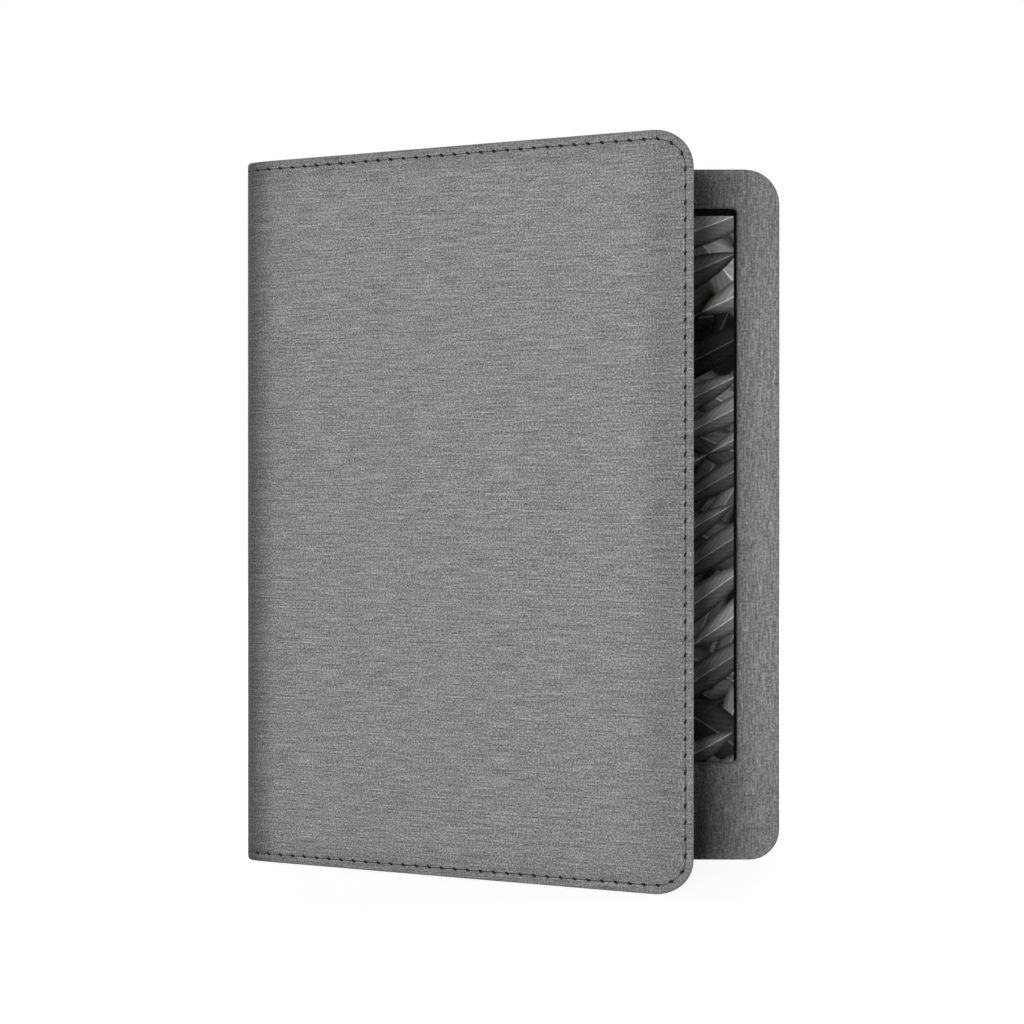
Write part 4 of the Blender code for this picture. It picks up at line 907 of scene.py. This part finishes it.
def solid_material(name, colour, roughness, metallic=0.0, size=0.0006, vary=0.15, relief=0.00002,
                   stretch=(1, 1, 1), specular=0.5):
    """Moulded, cast or sheet material: a fine grain, slow variation in tone, scuffs, and uneven gloss."""
    n = Nodes(name)
    place = n.place()
    grain = n.noise(place, tuple(size * s for s in stretch), 2.0, 0.6)
    slow = n.noise(place, 0.014, 3.0, 0.6)
    scuff = n.spread(n.noise(place, (0.010, 0.0012, 0.010), 3.0, 0.7), 0.16, 0.24)
    tone = n.plus(1.0, n.times(grain, vary), n.times(slow, vary), n.times(scuff, 0.1))
    rough = n.plus(roughness, n.times(grain, 0.15), n.times(slow, 0.12), n.times(scuff, 0.08))
    return n.finish(n.principled(
        Base_Color=n.tinted(colour, tone), Roughness=n.math("MAXIMUM", rough, 0.05), Metallic=metallic,
        Specular_IOR_Level=specular, Normal=n.bump(n.plus(grain, n.times(scuff, 0.3)), relief, 0.6),
    ))


def clear_material(name, gloss, roughness, tint):
    """A clear sheet: light goes straight through, with a weak reflection over it."""
    n = Nodes(name)
    place = n.place()
    smear = n.noise(place, (0.03, 0.03, 0.012), 3.0, 0.6)
    rough = n.plus(roughness, n.times(smear, 0.06))
    clear = n.add("BsdfTransparent", {"Color": (*tint, 1.0)}).outputs[0]
    sheen = n.add("BsdfGlossy", {"Color": (1, 1, 1, 1), "Roughness": rough}).outputs[0]
    facing = n.add("Fresnel", {"IOR": 1.45}).outputs[0]
    share = n.times(facing, n.math("ADD", gloss, n.times(smear, gloss * 0.3)))
    return n.finish(n.add("MixShader", {0: share, 1: clear, 2: sheen}).outputs[0])


def picture_material():
    """An e-paper panel showing a generic dark study of scattered willow leaves."""
    n = Nodes("e_paper_picture")
    parts = n.add("SeparateXYZ", {0: n.place()})
    x, z = parts.outputs[0], parts.outputs[2]
    warp = n.noise(n.place(), (0.05, 1.0, 0.05))

    def random(a, b, seed):
        spot = n.add("CombineXYZ", {0: a, 1: b, 2: seed}).outputs[0]
        return n.add("TexWhiteNoise", {"Vector": spot}, noise_dimensions="3D").outputs["Value"]

    def leaves(slope, width, length, seed):
        """Rows of leaves: how much of the place they cover, and their tone."""
        along = n.plus(n.times(x, cos(slope) / length), n.times(z, sin(slope) / length))
        across = n.plus(n.times(x, -sin(slope) / width), n.times(z, cos(slope) / width), n.times(warp, 1.5))
        across = n.math("ADD", across, seed)
        row = n.math("FLOOR", across)
        aside = n.math("SUBTRACT", n.math("FRACT", across), 0.5)
        along = n.math("ADD", along, random(row, 0.5, seed))
        cell = n.math("FLOOR", along)
        t = n.math("SUBTRACT", n.times(n.math("FRACT", along), 2.0), 1.0)
        half = n.times(n.math("POWER", n.math("SUBTRACT", 1.0, n.times(t, t)), 0.7), 0.49)
        gap = n.math("SUBTRACT", half, n.math("ABSOLUTE", aside))
        cover = n.times(n.spread(gap, 0.0, 0.03), n.spread(random(row, cell, seed + 3), 0.2, 0.21))
        shade = n.math("ADD", n.times(n.math("POWER", random(row, cell, seed), 1.35), 0.77), 0.018)
        shade = n.times(shade, n.spread(gap, 0.0, 0.22, 0.25, 1.0))
        shade = n.times(shade, n.spread(aside, -0.01, 0.01, 0.55, 1.0))
        rib = n.spread(n.math("ABSOLUTE", aside), 0.012, 0.03, 1.0, 0.0)
        vein = n.math("SINE", n.plus(n.times(along, 110.0), n.times(n.math("ABSOLUTE", aside), -45.0)))
        shade = n.times(shade, n.math("ADD", 1.0, n.times(vein, 0.12)))
        return cover, n.plus(shade, n.times(rib, n.plus(0.06, n.times(shade, 1.2))))

    tone = n.math("ADD", 0.012, n.times(n.noise(n.place(), (0.004, 1.0, 0.02), 2.0), 0.03))
    for slope, width, length, seed in LEAVES:
        cover, leaf = leaves(radians(slope), width, length, seed)
        tone = n.add("Mix", {"Factor": cover, "A": tone, "B": leaf}, data_type="FLOAT").outputs[0]
    grain = n.noise(n.place(), 0.00018, 1.0)
    tone = n.math("MAXIMUM", n.times(tone, n.math("ADD", 1.0, n.times(grain, 0.5))), 0.004)
    return n.finish(n.principled(
        Base_Color=n.tinted((1.0, 0.975, 0.94), tone), Roughness=n.math("ADD", 0.6, n.times(grain, 0.2)),
        Specular_IOR_Level=0.02, Normal=n.bump(grain, 0.00001, 0.3),
    ))


def paint(material, *names):
    """Gives CAD nodes a material."""
    for name in names:
        obj = frame["nodes"][name]
        obj.data.materials.clear()
        obj.data.materials.append(material)


def paint_nodes():
    """Materials for the CAD nodes that are carried over."""

    def like(part):
        return [name for name in sorted(frame["nodes"]) if part in name]

    paint(greyboard, "back_cover_board", "window_frame_board")
    paint(microfibre, "window_frame_lining")
    paint(
        solid_material("spacer_foam_cells", (0.05, 0.05, 0.05), 0.95, size=0.0004, vary=1.0, relief=0.0002),
        "pocket_spacer", "pocket_spacer_foot",
    )
    paint(
        solid_material("nickel_plate", (0.6, 0.59, 0.56), 0.28, 1.0, size=0.0002, vary=0.1),
        *like("magnet"),
    )
    paint(
        solid_material("soft_touch_shell", (0.012, 0.012, 0.013), 0.62, size=0.00022, vary=0.5),
        "rear_shell",
    )
    paint(
        solid_material("moulded_black", (0.02, 0.02, 0.02), 0.5, size=0.0003, vary=0.4),
        "battery_connector", "processor", "power_chip", "hall_sensor", "button_switch",
    )
    paint(clear_material("frosted_light_pipe", 0.5, 0.3, (0.75, 0.77, 0.77)), "light_pipe")
    paint(picture_material(), "display_panel")
    paint(
        solid_material(
            "die_cast_plate", (0.45, 0.45, 0.46), 0.42, 1.0, size=0.0005, vary=0.25, relief=0.00004
        ),
        "mid_frame",
    )
    paint(
        solid_material("battery_pouch", (0.3, 0.3, 0.31), 0.38, 0.8, size=0.003, vary=0.2, relief=0.0001),
        "battery",
    )
    paint(solid_material("double_sided_tape", (0.6, 0.6, 0.55), 0.6, size=0.0008), "battery_tape")
    paint(
        solid_material("solder_mask", (0.01, 0.06, 0.03), 0.35, size=0.0011, vary=0.6, stretch=(1, 1, 0.3)),
        "main_board",
    )
    paint(
        solid_material("tinned_steel", (0.55, 0.55, 0.56), 0.35, 1.0, size=0.0006, stretch=(8, 1, 1)),
        "processor_shield", "wireless_module",
    )
    paint(
        solid_material("satin_steel", (0.5, 0.5, 0.5), 0.33, 1.0, size=0.0002, stretch=(1, 1, 8)),
        "usb_port",
    )
    paint(solid_material("seal_rubber", (0.03, 0.03, 0.03), 0.8, size=0.0002, vary=0.3), "port_seal")
    paint(
        solid_material("lamp_body", (0.8, 0.8, 0.75), 0.5, size=0.0003, vary=0.1),
        "status_lamp", "light_strip",
    )
    paint(solid_material("satin_button", (0.02, 0.02, 0.02), 0.3, size=0.00015, vary=0.3), "power_button")
    paint(
        solid_material("amber_film", (0.25, 0.12, 0.02), 0.3, size=0.0006, vary=0.3, stretch=(0.3, 1, 6)),
        *like("ribbon"), "antenna", "battery_lead",
    )
    paint(solid_material("black_zinc", (0.4, 0.4, 0.4), 0.35, 1.0, size=0.0002, vary=0.2), *like("screw"))


# Scene -------------------------------------------------------------------------------------------
def add_camera():
    data = bpy.data.cameras.new("camera")
    data.lens, data.sensor_width = LENS_MM, 36.0
    data.clip_start, data.clip_end = 0.02, 50
    camera = bpy.data.objects.new("camera", data)
    camera.location = (
        FRONT_FOLD.x + CAMERA_RIGHT_OF_FOLD, FRONT_FOLD.y - CAMERA_FROM_FOLD, CAMERA_HEIGHT
    )
    camera.rotation_euler = (radians(90) + CAMERA_PITCH, 0, 0)
    bpy.context.scene.collection.objects.link(camera)
    bpy.context.scene.camera = camera


def add_softbox(name, azimuth, height, distance, size, level):
    """A softbox facing the object. level 1 lights a white card to white."""
    a, centre = radians(azimuth), Vector((0, 0, COVER_HEIGHT / 2))
    data = bpy.data.lights.new(name, "AREA")
    data.shape, (data.size, data.size_y) = "RECTANGLE", size
    lamp = bpy.data.objects.new(name, data)
    lamp.location = (sin(a) * distance, -cos(a) * distance, height)
    way = centre - lamp.location
    data.energy = level * pi**2 * way.length_squared
    lamp.rotation_euler = way.to_track_quat("-Z", "Y").to_euler()
    bpy.context.scene.collection.objects.link(lamp)


def seen_directly(n):
    """1 for rays from the camera, a mirror or a clear part, and 0 for the light that falls on things."""
    path = n.add("LightPath").outputs
    plain = n.math("ADD", path["Is Camera Ray"], path["Is Glossy Ray"])
    return n.math("ADD", plain, path["Is Transmission Ray"], clamp=True)


def add_world():
    n = Nodes("studio", "worlds")
    way = n.add("SeparateXYZ", {0: n.add("TexCoord").outputs["Generated"]}).outputs[1]
    ambient = n.spread(way, 0.1, 0.8, AMBIENT_FRONT, AMBIENT_REAR)
    seen = {"Factor": seen_directly(n), "A": ambient, "B": 1.0}
    strength = n.add("Mix", seen, data_type="FLOAT").outputs[0]
    background = n.add("Background", {"Color": (1, 1, 1, 1), "Strength": strength}).outputs[0]
    bpy.context.scene.world = n.finish(background, "OutputWorld")


def add_floor():
    """A pale floor, lit like the rest, with a glow that brings it to white for the camera alone."""
    mesh = bpy.data.meshes.new("floor")
    h = FLOOR_HALF
    mesh.from_pydata([(-h, -h, 0), (h, -h, 0), (h, h, 0), (-h, h, 0)], [], [(0, 1, 2, 3)])
    floor = bpy.data.objects.new("floor", mesh)
    bpy.context.scene.collection.objects.link(floor)
    n = Nodes("pale_floor")
    matt = n.add("BsdfDiffuse", {"Color": (FLOOR_TONE, FLOOR_TONE, FLOOR_TONE, 1)}).outputs[0]
    away = n.add("VectorMath", {0: n.place()}, operation="LENGTH").outputs["Value"]
    white = n.times(seen_directly(n), n.spread(away, *FLOOR_GLOW))
    glow = n.add("Emission", {"Color": (1, 1, 1, 1), "Strength": white}).outputs[0]
    mesh.materials.append(n.finish(n.add("AddShader", {0: matt, 1: glow}).outputs[0]))


def dress(obj, material):
    """Gives a piece its material."""
    obj.data.materials.clear()
    obj.data.materials.append(material)


cover_cloth = cloth_material(
    "melange_cloth", 0.25, along=0, across=1, grain_size=0.00042, weights=(2.0, 0.6, 0.15, 0.72, 0.42, 0.5)
)
# The cover's cloth turned upright, with a darker tone as painted shade
frame_cloth = cloth_material(
    "melange_cloth_upright_painted_shade", 0.218, along=1, across=0, grain_size=0.00056,
    weights=(1.3, 0.35, 1.0, 0.6, 0.35, 0.3),
)
greyboard = solid_material("greyboard_pulp", (0.35, 0.33, 0.30), 0.9, size=0.0012, vary=0.5, relief=0.0001)
microfibre = lining_material()
thread = thread_material()
printed_border = solid_material(
    "printed_border", (0.0015, 0.0015, 0.0015), 0.55, size=0.0002, vary=0.3, specular=0.02
)
anti_glare_glass = clear_material("anti_glare_glass", 0.03, 0.16, (0.94, 0.94, 0.935))

dress(front_cloth(), cover_cloth)
for piece in back_cloth():
    dress(piece, cover_cloth)
dress(window_frame_cloth(), frame_cloth)
dress(front_board(), greyboard)
dress(screen_glass(), anti_glare_glass)
dress(border_print(), printed_border)
dress(lining("front_lining", FRONT, "front_cover_lining"), microfibre)
dress(lining("back_lining", BACK, "pocket_lining"), microfibre)
front_sides = ((0.0, 1, inf), (COVER, -1, inf))
back_sides = ((0.0, 1, inf), (COVER, -1, BACK.at(POCKET_START) - SEAM_TO_POCKET))
dress(stitches("front_stitches", FRONT, front_sides, "front_cover_thread"), thread)
dress(stitches("back_stitches", BACK, back_sides, "back_cover_thread"), thread)
paint_nodes()

add_world()
add_floor()
for lamp in LAMPS:
    add_softbox(*lamp)
add_camera()
bpy.context.scene.view_settings.view_transform = "Standard"
